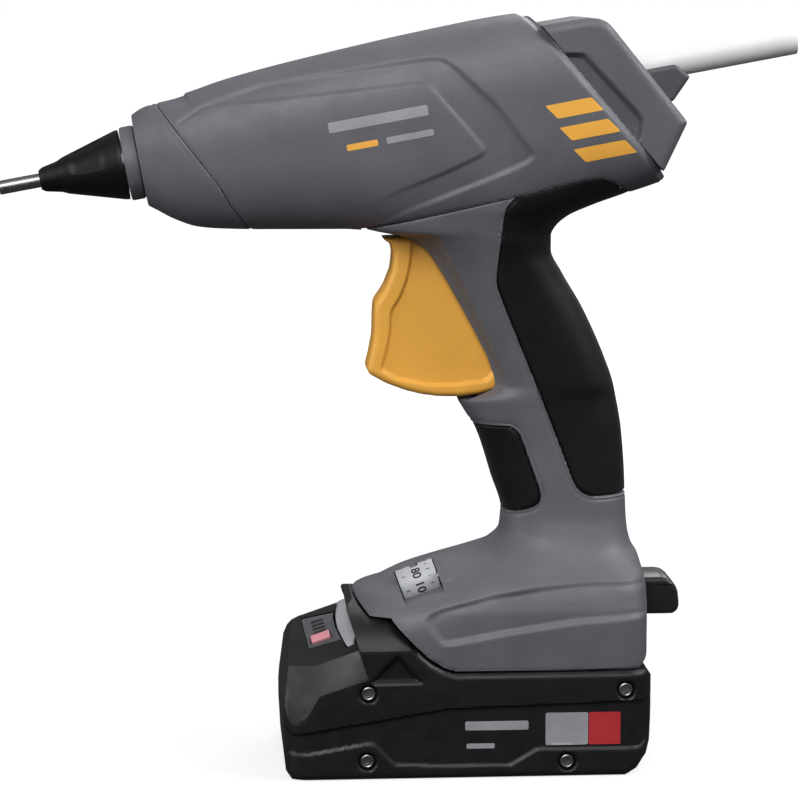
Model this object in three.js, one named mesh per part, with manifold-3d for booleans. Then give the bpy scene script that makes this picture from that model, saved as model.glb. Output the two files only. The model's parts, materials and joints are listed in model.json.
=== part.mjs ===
// A cordless hot-glue gun: nozzle, heated melt chamber, trigger feed, pistol grip and slide-on battery.
//
// Millimetres, +Z up. The nozzle points along -X and tips down a little, the glue stick enters from +X,
// and the gun stands on the battery's flat underside. The origin is under the middle of the whole gun.

import * as THREE from 'three';
import { mergeVertices } from 'three/addons/utils/BufferGeometryUtils.js';
import Module from 'manifold-3d';

const wasm = await Module();
wasm.setup();

// ---------------------------------------------------------------- driving dimensions

const GAP = 0.3; // clearance between pieces that touch
const WALL = 2.4; // moulded housing wall
const GRIP_WALL = 4.2; // of the grip, which carries the rubber pads
const GRIP_FOOT = 92; // height at which the grip's wall starts
const FAR = 200; // longer than any piece, for cutting tools

const BARREL_TILT = THREE.MathUtils.degToRad(10.4);
const BARREL_HEIGHT = 233.5; // of the barrel axis above the table, at x = 0

const STICK_RADIUS = 5.5;
const STICK_FRONT = -56;
const STICK_REAR = 143.7;
const TIP_RADIUS = 2.5;
const TIP_FRONT = -144.3;
const CAP_FRONT = -93.7;
const CHAMBER_RADIUS = 10;
const CHAMBER_FRONT = -91;
const CHAMBER_REAR = -30;

const PIVOT = { x: 16.8, z: 185.3 }; // of the trigger
const PIVOT_PIN_RADIUS = 2;
const TRIGGER_HALF = 9.4;
const TRIGGER_SWEEP = 54.2; // radius that the trigger's foot sweeps, with clearance
const CRANK_LENGTH = 36.4; // from the trigger pivot up to the pin that it drives
const CARRIAGE = { front: 12, rear: 40, half: 9.5 };
const CRANK_PIN_RADIUS = 1.8;
const CRANK_HALF = 3; // half its thickness
const CRANK_SLOT_HALF = 3.4; // half the slot that it stands in
const PIN_PLAY = 0.06; // round the pivot pin

const PACK_HALF = 38;
const PACK_FRONT = -43.6;
const PACK_REAR = 87.6;
const PACK_TOP = 37.9;
const PACK_CORNER = 9;
const PACK_WALL = 2.3;
const RAIL = { front: -2, rear: 72, half: 24.6, top: 45.2 }; // of the battery, which slides into the foot
const BLADE_OFFSETS = [-10, 10]; // of the two contacts from the middle

const CELL_RADIUS = 9.1;
const CELL_LENGTH = 65;
const CELL_PITCH = 19.4;
const CELL_COUNT = 5;
const FIRST_CELL_X = -17;
const CELL_HEIGHT = 13.4;
const CELL_SHIFT = 2.9; // of the cells to the right, clear of the battery's screws
const CELL_CAP = { radius: 3, height: 1.2, sunk: 0.4 }; // the raised terminal at one end

const DIAL = { x: 6.3, y: -10, z: 65.3, radius: 7, length: 14 };
const POT = { front: 10.2, rear: 14.2, radius: 3.2 }; // behind the dial, along the dial's axis
const DIAL_SHAFT = 1.3;
const DIAL_SLOPE = THREE.MathUtils.degToRad(19.5);

// ---------------------------------------------------------------- materials

function finish(color, roughness, metalness = 0) {
  return { color, roughness, metalness };
}

const HOUSING = finish(0x6e6e74, 0.6);
const HOUSING_DARK = finish(0x4d4d53, 0.6);
const RUBBER = finish(0x141415, 0.75);
const SILICONE = finish(0x0c0c0d, 0.5);
const ORANGE = finish(0xf0a232, 0.45);
const PACK_BLACK = finish(0x1e1e21, 0.5);
const STEEL = finish(0xa8a9ac, 0.35, 1);
const BLACK_STEEL = finish(0x2c2c2f, 0.4, 1);
const ALUMINIUM = finish(0xb9bbbf, 0.4, 1);
const GLUE = finish(0xf2f2ee, 0.3);
const WHITE = finish(0xe9e9e6, 0.4);
const MICA = finish(0xcfc7b4, 0.7);
const CIRCUIT = finish(0x1d5a3a, 0.5);
const CELL_WRAP = finish(0x3d7fae, 0.35);
const PLAIN_NYLON = finish(0xd8d6cf, 0.5);
const PINK = finish(0xd98a92, 0.4);
const BRASS = finish(0xb08d4a, 0.35, 1);

// ---------------------------------------------------------------- solids and booleans

/** A closed geometry as a solid that can be joined and cut. */
function solidOf(geometry) {
  const bare = geometry.index ? geometry.clone() : geometry;
  bare.deleteAttribute('normal');
  bare.deleteAttribute('uv');
  const merged = mergeVertices(bare, 1e-4);
  return new wasm.Manifold(new wasm.Mesh({
    numProp: 3,
    vertProperties: new Float32Array(merged.attributes.position.array),
    triVerts: new Uint32Array(merged.index.array),
  }));
}

/** A solid back as a geometry. */
function geometryOf(solid) {
  const mesh = solid.getMesh();
  const geometry = new THREE.BufferGeometry();
  geometry.setAttribute('position', new THREE.BufferAttribute(mesh.vertProperties, mesh.numProp));
  geometry.setIndex(new THREE.BufferAttribute(mesh.triVerts, 1));
  return geometry;
}

/** The largest of a solid's separate pieces, so that a sliver left by a cut is dropped. */
function largest(solid) {
  const pieces = solid.decompose();
  return pieces.reduce((best, piece) => (piece.volume() > best.volume() ? piece : best));
}

function union(...solids) {
  return solids.reduce((whole, solid) => whole.add(solid));
}

/** A box between two corners. */
function block([x0, y0, z0], [x1, y1, z1]) {
  const geometry = new THREE.BoxGeometry(x1 - x0, y1 - y0, z1 - z0);
  geometry.translate((x0 + x1) / 2, (y0 + y1) / 2, (z0 + z1) / 2);
  return solidOf(geometry);
}

/** A side outline of [x, z] points, extruded from y0 to y1, with its edges rounded by bevel. */
function plate(outline, y0, y1, bevel = 0, bevelSegments = 2) {
  const shape = new THREE.Shape(outline.map(([x, z]) => new THREE.Vector2(x, z)));
  const geometry = new THREE.ExtrudeGeometry(shape, {
    depth: y1 - y0 - 2 * bevel,
    bevelEnabled: bevel > 0,
    bevelThickness: bevel,
    bevelSize: bevel,
    bevelOffset: -bevel,
    bevelSegments,
    curveSegments: 8,
  });
  geometry.rotateX(Math.PI / 2);
  geometry.translate(0, y1 - bevel, 0);
  return solidOf(geometry);
}

/** A straight rod or tube tool along x, y or z, from one end to the other. */
function rod(axis, radius, from, to, [u, v], sides = 16) {
  const geometry = new THREE.CylinderGeometry(radius, radius, to - from, sides);
  const middle = (from + to) / 2;
  if (axis === 'x') {
    geometry.rotateZ(-Math.PI / 2);
    geometry.translate(middle, u, v);
  } else if (axis === 'y') {
    geometry.translate(u, middle, v);
  } else {
    geometry.rotateX(Math.PI / 2);
    geometry.translate(u, v, middle);
  }
  return solidOf(geometry);
}

/** A solid turned about the x axis from [x, radius] points that start and end on the axis or close up. */
function turned(profile, sides = 24) {
  const points = profile.map(([x, radius]) => new THREE.Vector2(radius, x));
  const geometry = new THREE.LatheGeometry(points, sides);
  geometry.rotateZ(-Math.PI / 2);
  return solidOf(geometry);
}

/** A tube turned about the x axis: its outer [x, radius] points, and a bore of one radius. */
function sleeve(outer, bore, sides = 24) {
  const first = outer[0][0];
  const last = outer[outer.length - 1][0];
  return turned([[first, bore], ...outer, [last, bore], [first, bore]], sides);
}

const TINY = 1e-6; // a unit circle coordinate this small is zero

/** Maps a unit circle coordinate onto a superellipse of the given power. */
function squared(value, power) {
  return Math.abs(value) < TINY ? 0 : Math.sign(value) * Math.abs(value) ** (2 / power);
}

/**
 * A solid through rings that lie across the x-z plane. Each ring runs from low to high, both [x, z]
 * points, and reaches half to either side. lowPower and highPower square its two ends off.
 */
function loft(rings, sides) {
  const last = rings.length - 1;
  const geometry = new THREE.CylinderGeometry(1, 1, 1, sides, last);
  const place = geometry.attributes.position;
  for (let i = 0; i < place.count; i += 1) {
    const ring = rings[Math.round((place.getY(i) + 0.5) * last)];
    const along = place.getZ(i);
    const power = along > 0 ? ring.highPower : ring.lowPower;
    const reach = squared(along, power);
    const x = (ring.low[0] + ring.high[0] + reach * (ring.high[0] - ring.low[0])) / 2;
    const z = (ring.low[1] + ring.high[1] + reach * (ring.high[1] - ring.low[1])) / 2;
    place.setXYZ(i, x, ring.half * squared(place.getX(i), power), z);
  }
  return solidOf(geometry);
}

/** Moves a solid made about the x axis onto the tilted barrel axis. */
function onBarrel(solid) {
  const tilt = THREE.MathUtils.radToDeg(BARREL_TILT);
  return solid.rotate([0, -tilt, 0]).translate([0, 0, BARREL_HEIGHT]);
}

const LEFT = block([-FAR, -FAR, -FAR], [FAR, -GAP / 2, 2 * FAR]);
const RIGHT = block([-FAR, GAP / 2, -FAR], [FAR, FAR, 2 * FAR]);

// ---------------------------------------------------------------- housing outlines, [x, z]

// Where the barrel covers end on the handle, from over the trigger to the rear corner.
const COVER_EDGE = [[-14.5, 193.3], [-2, 195.9], [64, 210.8], [70, 211.4], [79.5, 206.6], [84, 203.4],
  [93, 203.4]];

// The slanting joint between the front cap and the barrel covers, from the top to the underside.
const CAP_JOINT = [[-92.3, 245], [-64.1, 208.8], [-60.3, 202], [-49.8, 188]];

// The slanting rear edge of the barrel covers.
const REAR_EDGE = [[93, 211.3], [41, 272.3]];

// The step where the foot sits on the battery, from the front arch to the rear corner.
const FOOT_EDGE = [[-30, 66], [-17.6, 64], [-17.3, 61.3], [-15.4, 59.6], [-12.4, 56.9], [-5.3, 57.1],
  [-3.9, 55.1], [3.1, 47.8], [8.6, 42.8], [13.3, 40], [17, 38.8], [83, 38.3], [90, 43.5]];

function shifted(outline, dx, dz) {
  return outline.map(([x, z]) => [x + dx, z + dz]);
}

/** Rings of the barrel, rear to front: x, underside, top, half width and squareness. */
const BARREL_RINGS = [
  [104, 213, 277, 27, 3], [82, 205.4, 273.6, 27, 3], [60, 199.4, 270.6, 27.4, 3], [36, 191, 267.8, 28, 3],
  [7, 190, 262.2, 28, 3], [-21, 192.6, 255.9, 27.4, 3], [-50, 192.6, 248.8, 25.6, 2.8],
  [-64, 192.9, 244.8, 23.8, 2.7], [-72, 193.6, 242, 22.4, 2.6], [-80, 196.2, 239.3, 20.6, 2.5],
  [-87, 199.8, 237.2, 17.8, 2.4], [-91.5, 202, 235.4, 15.4, 2.3], [-100, 205, 229, 12.6, 2.2],
];

/** The barrel's outer form, or with an inset the room inside it. */
function barrelForm(inset = 0) {
  return loft(BARREL_RINGS.map(([x, low, high, half, power]) => ({
    low: [x, low + inset],
    high: [x, high - inset],
    half: half - inset,
    lowPower: power,
    highPower: power,
  })), 24);
}

/**
 * Rings of the handle and foot, bottom to top: height, front, back, half width, squareness of the front
 * and of the back, and the share of the wall by which the inside steps down (-) or up (+).
 */
const HANDLE_RINGS = [
  [36, -18, 87.2, 36.9, 6, 7, 0], [50, -18.2, 87.2, 37, 5, 7, 0], [58, -18.2, 87.2, 36.8, 3.2, 7, 0],
  [62, -17.3, 87.2, 36, 2.2, 6.5, -1], [66, -9, 87.1, 34.4, 1.7, 6, -1], [69.4, -2, 86.8, 31.5, 1.7, 5, -1],
  [72.5, 8, 86.2, 28, 1.8, 4, -1], [75.5, 20, 85.4, 25, 2, 3.4, -1], [79, 31, 83.4, 22.4, 2.2, 3, -1],
  [84, 36, 82.2, 20.3, 2.4, 2.8, -1], [90, 36.6, 81.7, 18.8, 2.6, 2.7, 0],
  [103, 32.8, 81.3, 17.7, 2.6, 2.6, 0], [120, 27.2, 80, 17.2, 2.6, 2.5, 0],
  [128, 22.3, 78.7, 17.2, 2.6, 2.5, 0], [131.5, 20.6, 78, 17.3, 2.6, 2.5, 0],
  [137, 28.8, 76.8, 17.5, 2.6, 2.5, 0], [146, 26.6, 73.6, 17.8, 2.6, 2.5, 0],
  [155, 22.5, 69.8, 18.2, 2.6, 2.5, 0],
  [165, 17.5, 64.9, 18.8, 2.6, 2.5, 0], [177, 11.3, 57.8, 20, 2.6, 2.5, 0], [185, 6.6, 54, 21.5, 2.7, 2.5, 0],
  [190, 0, 54, 22.8, 2.8, 2.5, 0], [193, -13, 55.4, 23.6, 2.9, 2.6, 1], [197, -15, 60, 24.2, 3, 2.6, 1],
  [201, -15, 69, 24.8, 3, 2.7, 1], [206, -15, 83, 25, 3, 2.7, 1], [214, -15, 98, 25.2, 3, 3, 1],
];

function handleForm(inset = 0) {
  return loft(HANDLE_RINGS.map(([z, front, back, half, frontPower, backPower, lift]) => ({
    low: [front + inset, z + lift * inset],
    high: [back - inset, z + lift * inset],
    half: half - inset,
    lowPower: frontPower,
    highPower: backPower,
  })), 24);
}

/** The region above the battery's step and below the barrel covers, as a tool for the handle. */
function handleRegion() {
  const upper = shifted(COVER_EDGE, 0, -GAP).reverse();
  return plate([...FOOT_EDGE, [FAR, 60], [FAR, 212], ...upper, [-30, 193]], -FAR, FAR);
}

/** The space that the trigger needs in the handle's front: its swept arc and the opening above it. */
function triggerSpace() {
  const sweep = rod('y', TRIGGER_SWEEP, -TRIGGER_HALF - 0.8, TRIGGER_HALF + 0.8, [PIVOT.x, PIVOT.z], 48);
  return sweep.intersect(plate([[-40, 120], [60, 120], [50, 190], [-40, 190]], -FAR, FAR));
}

// ---------------------------------------------------------------- screws

/** Where the housing screws go in from the right: x, z and the housing's half width there. */
const HOUSING_SCREWS = [
  { x: -30, z: 203, face: 23.5 },
  { x: 60, z: 226, face: 25 },
  { x: 88.5, z: 224.5, face: 23 },
  { x: 64, z: 108, face: 15 },
];
const SCREW = { head: 2.9, headHeight: 2, shank: 1.4, recess: 3.3, seat: 3, length: 11, boss: 4.2 };
const PACK_SCREW = {
  head: 2.45, headHeight: 1.7, shank: 1.3, recess: 3.3, seat: 2.8, length: 4.6, boss: 4.1,
};
const SOCKET = { radius: 1.4, floor: 0.7 }; // the hexagon in each screw's head

function screwBoss({ x, z, face }) {
  return rod('y', SCREW.boss, face - SCREW.seat - SCREW.length - 3, face - 0.6, [x, z]);
}

function screwHole({ x, z, face }) {
  const recess = rod('y', SCREW.recess, face - SCREW.seat, FAR, [x, z]);
  const pilot = rod('y', SCREW.shank + GAP, face - SCREW.seat - SCREW.length - 1, FAR, [x, z]);
  return union(recess, pilot);
}

/** A screw that enters from the right, its head's underside at y = seat. */
function screw({ head, headHeight, shank, length }, seat, { x, z }) {
  const cap = rod('y', head, seat, seat + headHeight, [x, z], 20);
  const stem = rod('y', shank, seat - length, seat + 0.5, [x, z], 10);
  const socket = rod('y', SOCKET.radius, seat + SOCKET.floor, seat + headHeight + 1, [x, z], 6);
  return union(cap, stem).subtract(socket);
}

function housingScrew(place) {
  return screw(SCREW, place.face - SCREW.seat + GAP, place);
}

// ---------------------------------------------------------------- nozzle and heating, about the x axis

function nozzleTip() {
  const body = turned([[TIP_FRONT, 0], [TIP_FRONT, TIP_RADIUS], [-122, TIP_RADIUS], [-119, 5.4], [-104, 8.2],
    [-96, 8.2], [-96, 6], [-84, 6], [-84, 0]]);
  const bore = rod('x', 1.1, TIP_FRONT - 1, -112, [0, 0], 12);
  const seat = rod('x', 2.6, -113, -80, [0, 0], 12);
  return body.subtract(union(bore, seat));
}

function valveBall() {
  const geometry = new THREE.SphereGeometry(2, 12, 8);
  geometry.translate(-109.6, 0, 0);
  return solidOf(geometry);
}

/** A closed regular polygon, the section of a wire. */
function wireSection(radius, sides) {
  const corners = Array.from({ length: sides }, (_, index) => {
    const angle = (2 * Math.PI * index) / sides;
    return new THREE.Vector2(radius * Math.cos(angle), radius * Math.sin(angle));
  });
  return new THREE.Shape(corners);
}

/** A coil spring along x, as one wire swept round a helix. */
function coil(from, to, radius, wire, turns) {
  const stepsPerTurn = 9;
  class Helix extends THREE.Curve {
    getPoint(t, target = new THREE.Vector3()) {
      const angle = t * turns * 2 * Math.PI;
      return target.set(from + (to - from) * t, radius * Math.cos(angle), radius * Math.sin(angle));
    }
  }
  return solidOf(new THREE.ExtrudeGeometry(wireSection(wire, 4), {
    extrudePath: new Helix(),
    steps: turns * stepsPerTurn,
    bevelEnabled: false,
  }));
}

function nozzleSleeve() {
  const outer = [[-129.6, 3.1], [-129.2, 4], [-127, 4.3], [-121.8, 5.6], [-120.6, 6.9], [-100.6, 12.4],
    [-99.3, 12.5]];
  const solid = turned([[-129.6, 0], ...outer, [-99.3, 0]]);
  const room = turned([[-140, 0], [-140, TIP_RADIUS + GAP], [-122.2, TIP_RADIUS + GAP], [-119.2, 5.7],
    [-104.2, 8.5], [-90, 8.5], [-90, 0]]);
  return solid.subtract(room);
}

function nozzleRing() {
  return sleeve([[-99, 12.7], [-98.6, 13.1], [-94.4, 13.1], [-94, 12.7]], 8.6, 28);
}

function meltChamber() {
  const outline = [[CHAMBER_FRONT, 9], [CHAMBER_FRONT + 3, CHAMBER_RADIUS], [CHAMBER_REAR, CHAMBER_RADIUS]];
  const outer = sleeve(outline, 6.3);
  const heaterFlat = block([-82, -7, CHAMBER_RADIUS - 1.4], [-38, 7, CHAMBER_RADIUS + 1]);
  return outer.subtract(heaterFlat);
}

function heatingElement() {
  return block([-78, -5, CHAMBER_RADIUS - 1.1], [-42, 5, CHAMBER_RADIUS + 1.4]);
}

/** The spring-steel band that clamps the heating element onto the chamber. */
function heaterClip() {
  const outside = rod('x', CHAMBER_RADIUS + 3.2, -66, -54, [0, 0], 28);
  const inside = rod('x', CHAMBER_RADIUS + 2.5, -67, -53, [0, 0], 28);
  const opening = block([-67, -3, -FAR], [-53, 3, 0]);
  return outside.subtract(union(inside, opening));
}

function temperatureSensor() {
  return rod('x', 1.1, -50, -38, [0, -CHAMBER_RADIUS - 1.5], 10);
}

function insulationSleeve() {
  return sleeve([[-86, 15.2], [-34, 15.2]], 14.2, 28);
}

/** The soft funnel that grips the chamber's rear end and guides the stick in. */
function inletSleeve() {
  const grip = CHAMBER_RADIUS + GAP;
  const bore = STICK_RADIUS + 0.5;
  const back = CHAMBER_REAR + GAP;
  return turned([[-35, grip], [-35, 12.4], [-28, 12.4], [-14, 7.8], [-14, bore], [back, bore], [back, grip],
    [-35, grip]]);
}

// ---------------------------------------------------------------- glue feed, about the x axis

function glueStick() {
  const edge = 0.4;
  return turned([[STICK_FRONT, 0], [STICK_FRONT, STICK_RADIUS - 1.5], [STICK_FRONT + 2, STICK_RADIUS],
    [STICK_REAR - edge, STICK_RADIUS], [STICK_REAR, STICK_RADIUS - edge], [STICK_REAR, 0]], 28);
}

const CLAW_PIVOT = { s: 33, n: -9.2 };
const CRANK_PIN = { s: 14.4, n: -14.6 };

/** The slider round the stick, with ears below for the pin that the trigger's crank pushes. */
function feedCarriage() {
  const { front, rear, half } = CARRIAGE;
  const body = plate([[front, -11.4], [front, 9], [front + 2, 11], [rear - 2, 11], [rear, 9], [rear, -11.4]],
    -half, half);
  const ear = [[front, -17], [front + 8, -17], [front + 10, -11], [front, -11]];
  const ears = union(plate(ear, -7.5, -4.6), plate(ear, 4.6, 7.5));
  const pin = rod('y', CRANK_PIN_RADIUS, -5, 5, [CRANK_PIN.s, CRANK_PIN.n], 14);
  const bore = rod('x', STICK_RADIUS + 0.7, front - 1, rear + 1, [0, 0], 24);
  const clawSlot = block([22.5, -2.6, -12], [37, 2.6, 0]);
  const pinHole = rod('y', 1.5, -FAR, FAR, [CLAW_PIVOT.s, CLAW_PIVOT.n], 12);
  return union(body, ears, pin).subtract(union(bore, clawSlot, pinHole));
}

/** The toothed claw under the stick, with its two trunnions. */
function gripperClaw() {
  const claw = plate([[24, -11.2], [35.4, -11.2], [35.6, -7.6], [30.5, -7.2], [27.6, -6.6], [25.4, -6.3],
    [24.6, -7.6]], -2.2, 2.2);
  return claw.add(rod('y', 1.1, -8.6, 8.6, [CLAW_PIVOT.s, CLAW_PIVOT.n], 12));
}

/** The open trough behind the housing that guides a new stick in. Made in place, in the part's frame. */
function feedFunnel() {
  const side = plate([[68, 233.2], [91, 236.9], [96.4, 237.6], [102.4, 246.3], [97.2, 250.6], [68, 245.2]],
    -10.2, 10.2, 1.4, 1);
  const channel = rod('x', STICK_RADIUS + 0.8, -FAR, FAR, [0, 0], 24);
  const above = block([-FAR, -STICK_RADIUS - 0.8, 0], [FAR, STICK_RADIUS + 0.8, FAR]);
  return side.subtract(onBarrel(union(channel, above)));
}

// ---------------------------------------------------------------- barrel housing

function capRegion() {
  return plate([...shifted(CAP_JOINT, -GAP, 0), [-120, 150], [-120, 260]], -FAR, FAR);
}

function frontCap() {
  const shell = barrelForm().subtract(barrelForm(WALL)).intersect(capRegion());
  const face = onBarrel(block([CAP_FRONT, -14, -12.5], [CAP_FRONT + WALL, 14, 14]));
  const ahead = onBarrel(block([-FAR, -FAR, -FAR], [CAP_FRONT, FAR, FAR]));
  const opening = onBarrel(rod('x', CHAMBER_RADIUS + 1.2, -FAR, -80, [0, 0], 24));
  const solid = union(shell, face.intersect(barrelForm())).subtract(union(ahead, opening));
  return largest(solid);
}

function coverRegion() {
  return plate([...COVER_EDGE, ...REAR_EDGE, ...CAP_JOINT, [-14.5, 188]], -FAR, FAR);
}

/** One half of the barrel's cover. The right half carries bosses for its screws. */
function barrelCover(side, screws) {
  const form = barrelForm();
  const bosses = screws.map((at) => screwBoss(at).intersect(form));
  const body = union(form.subtract(barrelForm(WALL)), ...bosses).intersect(coverRegion()).intersect(side);
  return largest(screws.reduce((solid, at) => solid.subtract(screwHole(at)), body));
}

const REAR_OUTLINE = [[85.5, 212], [91.4, 213.6], [99.6, 230.9], [73.4, 263.2], [71.2, 265.6], [68, 267],
  [64, 267.2], [49.4, 264.8], [43.4, 263.2]];
const REAR_ROOM = [[80, 214.6], [89.8, 216.4], [96.6, 230.6], [71.6, 261.2], [68, 264.2], [64, 264.6],
  [40, 260.4]];
const REAR_OPENING = [[70, 190], [86, 208], [41, 260], [30, 268], [20, 240]]; // toward the barrel covers
const REAR_HALF = 24;

/** One half of the narrower housing behind the barrel cover, open at the front and round the trough. */
function rearHousing(side, screws) {
  const outside = plate(REAR_OUTLINE, -REAR_HALF, REAR_HALF, 3.6, 3);
  const inside = plate(REAR_ROOM, -REAR_HALF + WALL, REAR_HALF - WALL, 2, 2);
  const open = plate(REAR_OPENING, -REAR_HALF + WALL, REAR_HALF - WALL);
  const belowAxis = block([50, -10.6, -14], [FAR, 10.6, 0]);
  const port = onBarrel(union(rod('x', 10.6, 50, FAR, [0, 0], 20), belowAxis));
  const troughSide = plate([[60, 232.6], [91, 236.5], [120, 240], [120, 300], [60, 290]], -10.6, 10.6);
  const edge = shifted(REAR_EDGE, GAP, 0);
  const coverSide = plate([...edge, [-50, 290], [-50, 150], [edge[0][0], 150]], -FAR, FAR);
  const coverWall = coverSide.subtract(barrelForm(WALL + GAP));
  const bosses = screws.map((at) => screwBoss(at).intersect(outside));
  const body = union(outside.subtract(union(inside, open)), ...bosses)
    .subtract(union(port.intersect(troughSide), coverWall));
  return largest(screws.reduce((solid, at) => solid.subtract(screwHole(at)), body).intersect(side));
}

// ---------------------------------------------------------------- handle, foot and grips

const REAR_PAD = [[38, 204], [35.4, 200.6], [32.9, 177], [32.9, 173.4], [36.2, 164.6], [51.2, 128.3],
  [61.3, 101.8], [63.8, 98.8], [67.2, 97.3], [110, 97.3], [110, 220], [60, 220]];
const FRONT_PAD = [[10, 122.6], [38, 122.6], [41, 120.8], [42.4, 117.8], [49.2, 98.6], [49, 95.8], [47, 93.7],
  [40.6, 91.6], [30, 90.2], [10, 90.2]];
const PAD_DEPTH = 2;

/** The band under the handle's surface, from one depth to another, that lies inside a side outline. */
function skin(outline, from, to) {
  return handleForm(from).subtract(handleForm(to)).intersect(plate(outline, -FAR, FAR));
}

function pad(outline, side) {
  return largest(skin(outline, 0.1, PAD_DEPTH).intersect(handleRegion()).intersect(side));
}

const FLOOR_TOP = 48.4; // of the foot's floor, which the battery's rail slides into

function railChannel() {
  return block([-40, -RAIL.half - 0.5, 20], [78.6, RAIL.half + 0.5, RAIL.top + 0.6]);
}

function dialPocket() {
  const drum = rod('x', DIAL.radius + 0.5, -DIAL.length / 2 - 0.4, DIAL.length / 2 + 0.4, [0, 0], 24);
  const window = block([-DIAL.length / 2 - 0.4, -40, -2.4], [DIAL.length / 2 + 0.4, 0, 14]);
  const sensor = rod('x', POT.radius + GAP, POT.front - GAP, POT.rear + GAP, [0, 0], 16);
  const shaft = rod('x', DIAL_SHAFT + 0.5, 0, POT.front, [0, 0], 12);
  return onDialSlope(union(drum, window, sensor, shaft));
}

/** Moves a solid made about the x axis onto the temperature dial's sloping axis. */
function onDialSlope(solid) {
  return solid.rotate([0, -THREE.MathUtils.radToDeg(DIAL_SLOPE), 0]).translate([DIAL.x, DIAL.y, DIAL.z]);
}

const BUTTON_HOLE = [[80, -11.4, 52.2], [92, 11.4, 66.6]];
const PIN_BOSS = { radius: 4.6, room: 5, end: 21, face: 16.4, depth: 19.2, play: 0.05 }; // for the pivot pin
const SPRING_POCKET = { radius: 4.4, left: 8, right: 14 };
const DIAL_WALL = [[-12, -26, 50], [18, -0.2, 66]];

/** One half of the handle, with the foot below it and the trigger's opening in front. */
function handleShell(side, screws) {
  const form = handleForm();
  const footRoom = handleForm(WALL).intersect(block([-FAR, -FAR, FLOOR_TOP], [FAR, FAR, GRIP_FOOT]));
  const gripRoom = handleForm(GRIP_WALL).intersect(block([-FAR, -FAR, GRIP_FOOT - 1], [FAR, FAR, 2 * FAR]));
  const pinBoss = rod('y', PIN_BOSS.radius, -PIN_BOSS.end, PIN_BOSS.end, [PIVOT.x, PIVOT.z], 16)
    .subtract(rod('y', PIN_BOSS.room, -PIN_BOSS.face, PIN_BOSS.face, [PIVOT.x, PIVOT.z], 16));
  const bosses = screws.map((at) => screwBoss(at).intersect(form));
  const dialWall = block(...DIAL_WALL).intersect(form);
  const solid = union(form.subtract(union(footRoom, gripRoom)), pinBoss, dialWall, ...bosses);
  const cuts = [
    railChannel(),
    triggerSpace(),
    rod('y', PIVOT_PIN_RADIUS + PIN_BOSS.play, -PIN_BOSS.depth, PIN_BOSS.depth, [PIVOT.x, PIVOT.z], 16),
    rod('y', SPRING_POCKET.radius, SPRING_POCKET.left, SPRING_POCKET.right, [PIVOT.x, PIVOT.z]),
    skin(REAR_PAD, -0.5, PAD_DEPTH + GAP),
    skin(FRONT_PAD, -0.5, PAD_DEPTH + GAP),
    dialPocket(),
    block(...BUTTON_HOLE),
    ...screws.map((at) => screwHole(at)),
  ];
  return largest(solid.intersect(handleRegion()).intersect(side).subtract(union(...cuts)));
}

// ---------------------------------------------------------------- trigger

const TRIGGER_OUTLINE = [[-6.8, 189.3], [-3.6, 187.2], [-2.8, 184], [-3.4, 178], [-5.9, 171.7], [-9.5, 166.4],
  [-9.8, 162], [-10, 154], [-11.2, 147.6], [-12.4, 142.8], [-11.6, 141], [-5.5, 137.6], [1.1, 135.1],
  [6.9, 133.6], [13.5, 132.7], [20.9, 132.6], [28, 133.4], [34, 135], [35.4, 138.4], [30, 160], [25, 176],
  [22, 186], [19.6, 189.4], [14, 190]];
const TRIGGER_SIDE = [[6.5, 184], [5.6, 176], [1.6, 168.4], [-1.6, 163.6], [-1.9, 156], [-3.4, 148.6],
  [-5.4, 142.4], [1.5, 139.6], [10, 137.8], [19, 137.7], [30, 139], [24, 158], [15, 178]];

function trigger() {
  const body = plate(TRIGGER_OUTLINE, -TRIGGER_HALF, TRIGGER_HALF, 1.6, 2);
  const sunk = TRIGGER_HALF - 1;
  const sides = union(plate(TRIGGER_SIDE, sunk, FAR), plate(TRIGGER_SIDE, -FAR, -sunk));
  const crankSlot = block([8, -CRANK_SLOT_HALF, 181], [40, CRANK_SLOT_HALF, 200]);
  return body.subtract(union(sides, crankSlot, pivotHole()));
}

/** The hole that turns on the pivot pin. */
function pivotHole() {
  return rod('y', PIVOT_PIN_RADIUS + PIN_PLAY, -FAR, FAR, [PIVOT.x, PIVOT.z], 16);
}

function triggerPivotPin() {
  return rod('y', PIVOT_PIN_RADIUS, -18.8, 18.8, [PIVOT.x, PIVOT.z], 16);
}

/** The steel crank that rises from the trigger into a fork under the feed carriage. */
function driveLever() {
  const top = PIVOT.z + CRANK_LENGTH;
  const fork = { front: 14.2, rear: 19, floor: top - 3 };
  const arm = plate([[11.8, 183], [14, 181.4], [20, 181.4], [21.6, 186], [20.4, 200], [20.6, top - 6],
    [21.6, top + 2], [fork.rear + 0.2, top + 2], [fork.rear - 0.2, fork.floor], [fork.front, fork.floor],
    [fork.front, top + 2], [11, top + 2], [12, top - 6], [13, 200]], -CRANK_HALF, CRANK_HALF);
  return arm.subtract(pivotHole());
}

/** The torsion spring on the pivot pin, beside the trigger. */
function triggerReturnSpring() {
  return coil(10, 13, 3.2, 0.5, 3).rotate([0, 0, 90]).translate([PIVOT.x, 0, PIVOT.z]);
}

// ---------------------------------------------------------------- foot: dial, button and electronics

function temperatureDial() {
  const half = DIAL.length / 2;
  const drum = turned([[-half, 0], [-half, DIAL.radius - 0.4], [-half + 0.4, DIAL.radius],
    [half - 0.4, DIAL.radius], [half, DIAL.radius - 0.4], [half, 0]], 32);
  const socket = rod('x', DIAL_SHAFT + GAP, 2, half + 1, [0, 0], 12);
  return drum.subtract(socket);
}

function potentiometer() {
  const shaft = rod('x', DIAL_SHAFT, 3, POT.front + 1, [0, 0], 10);
  return rod('x', POT.radius, POT.front, POT.rear, [0, 0], 16).add(shaft);
}

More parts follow.
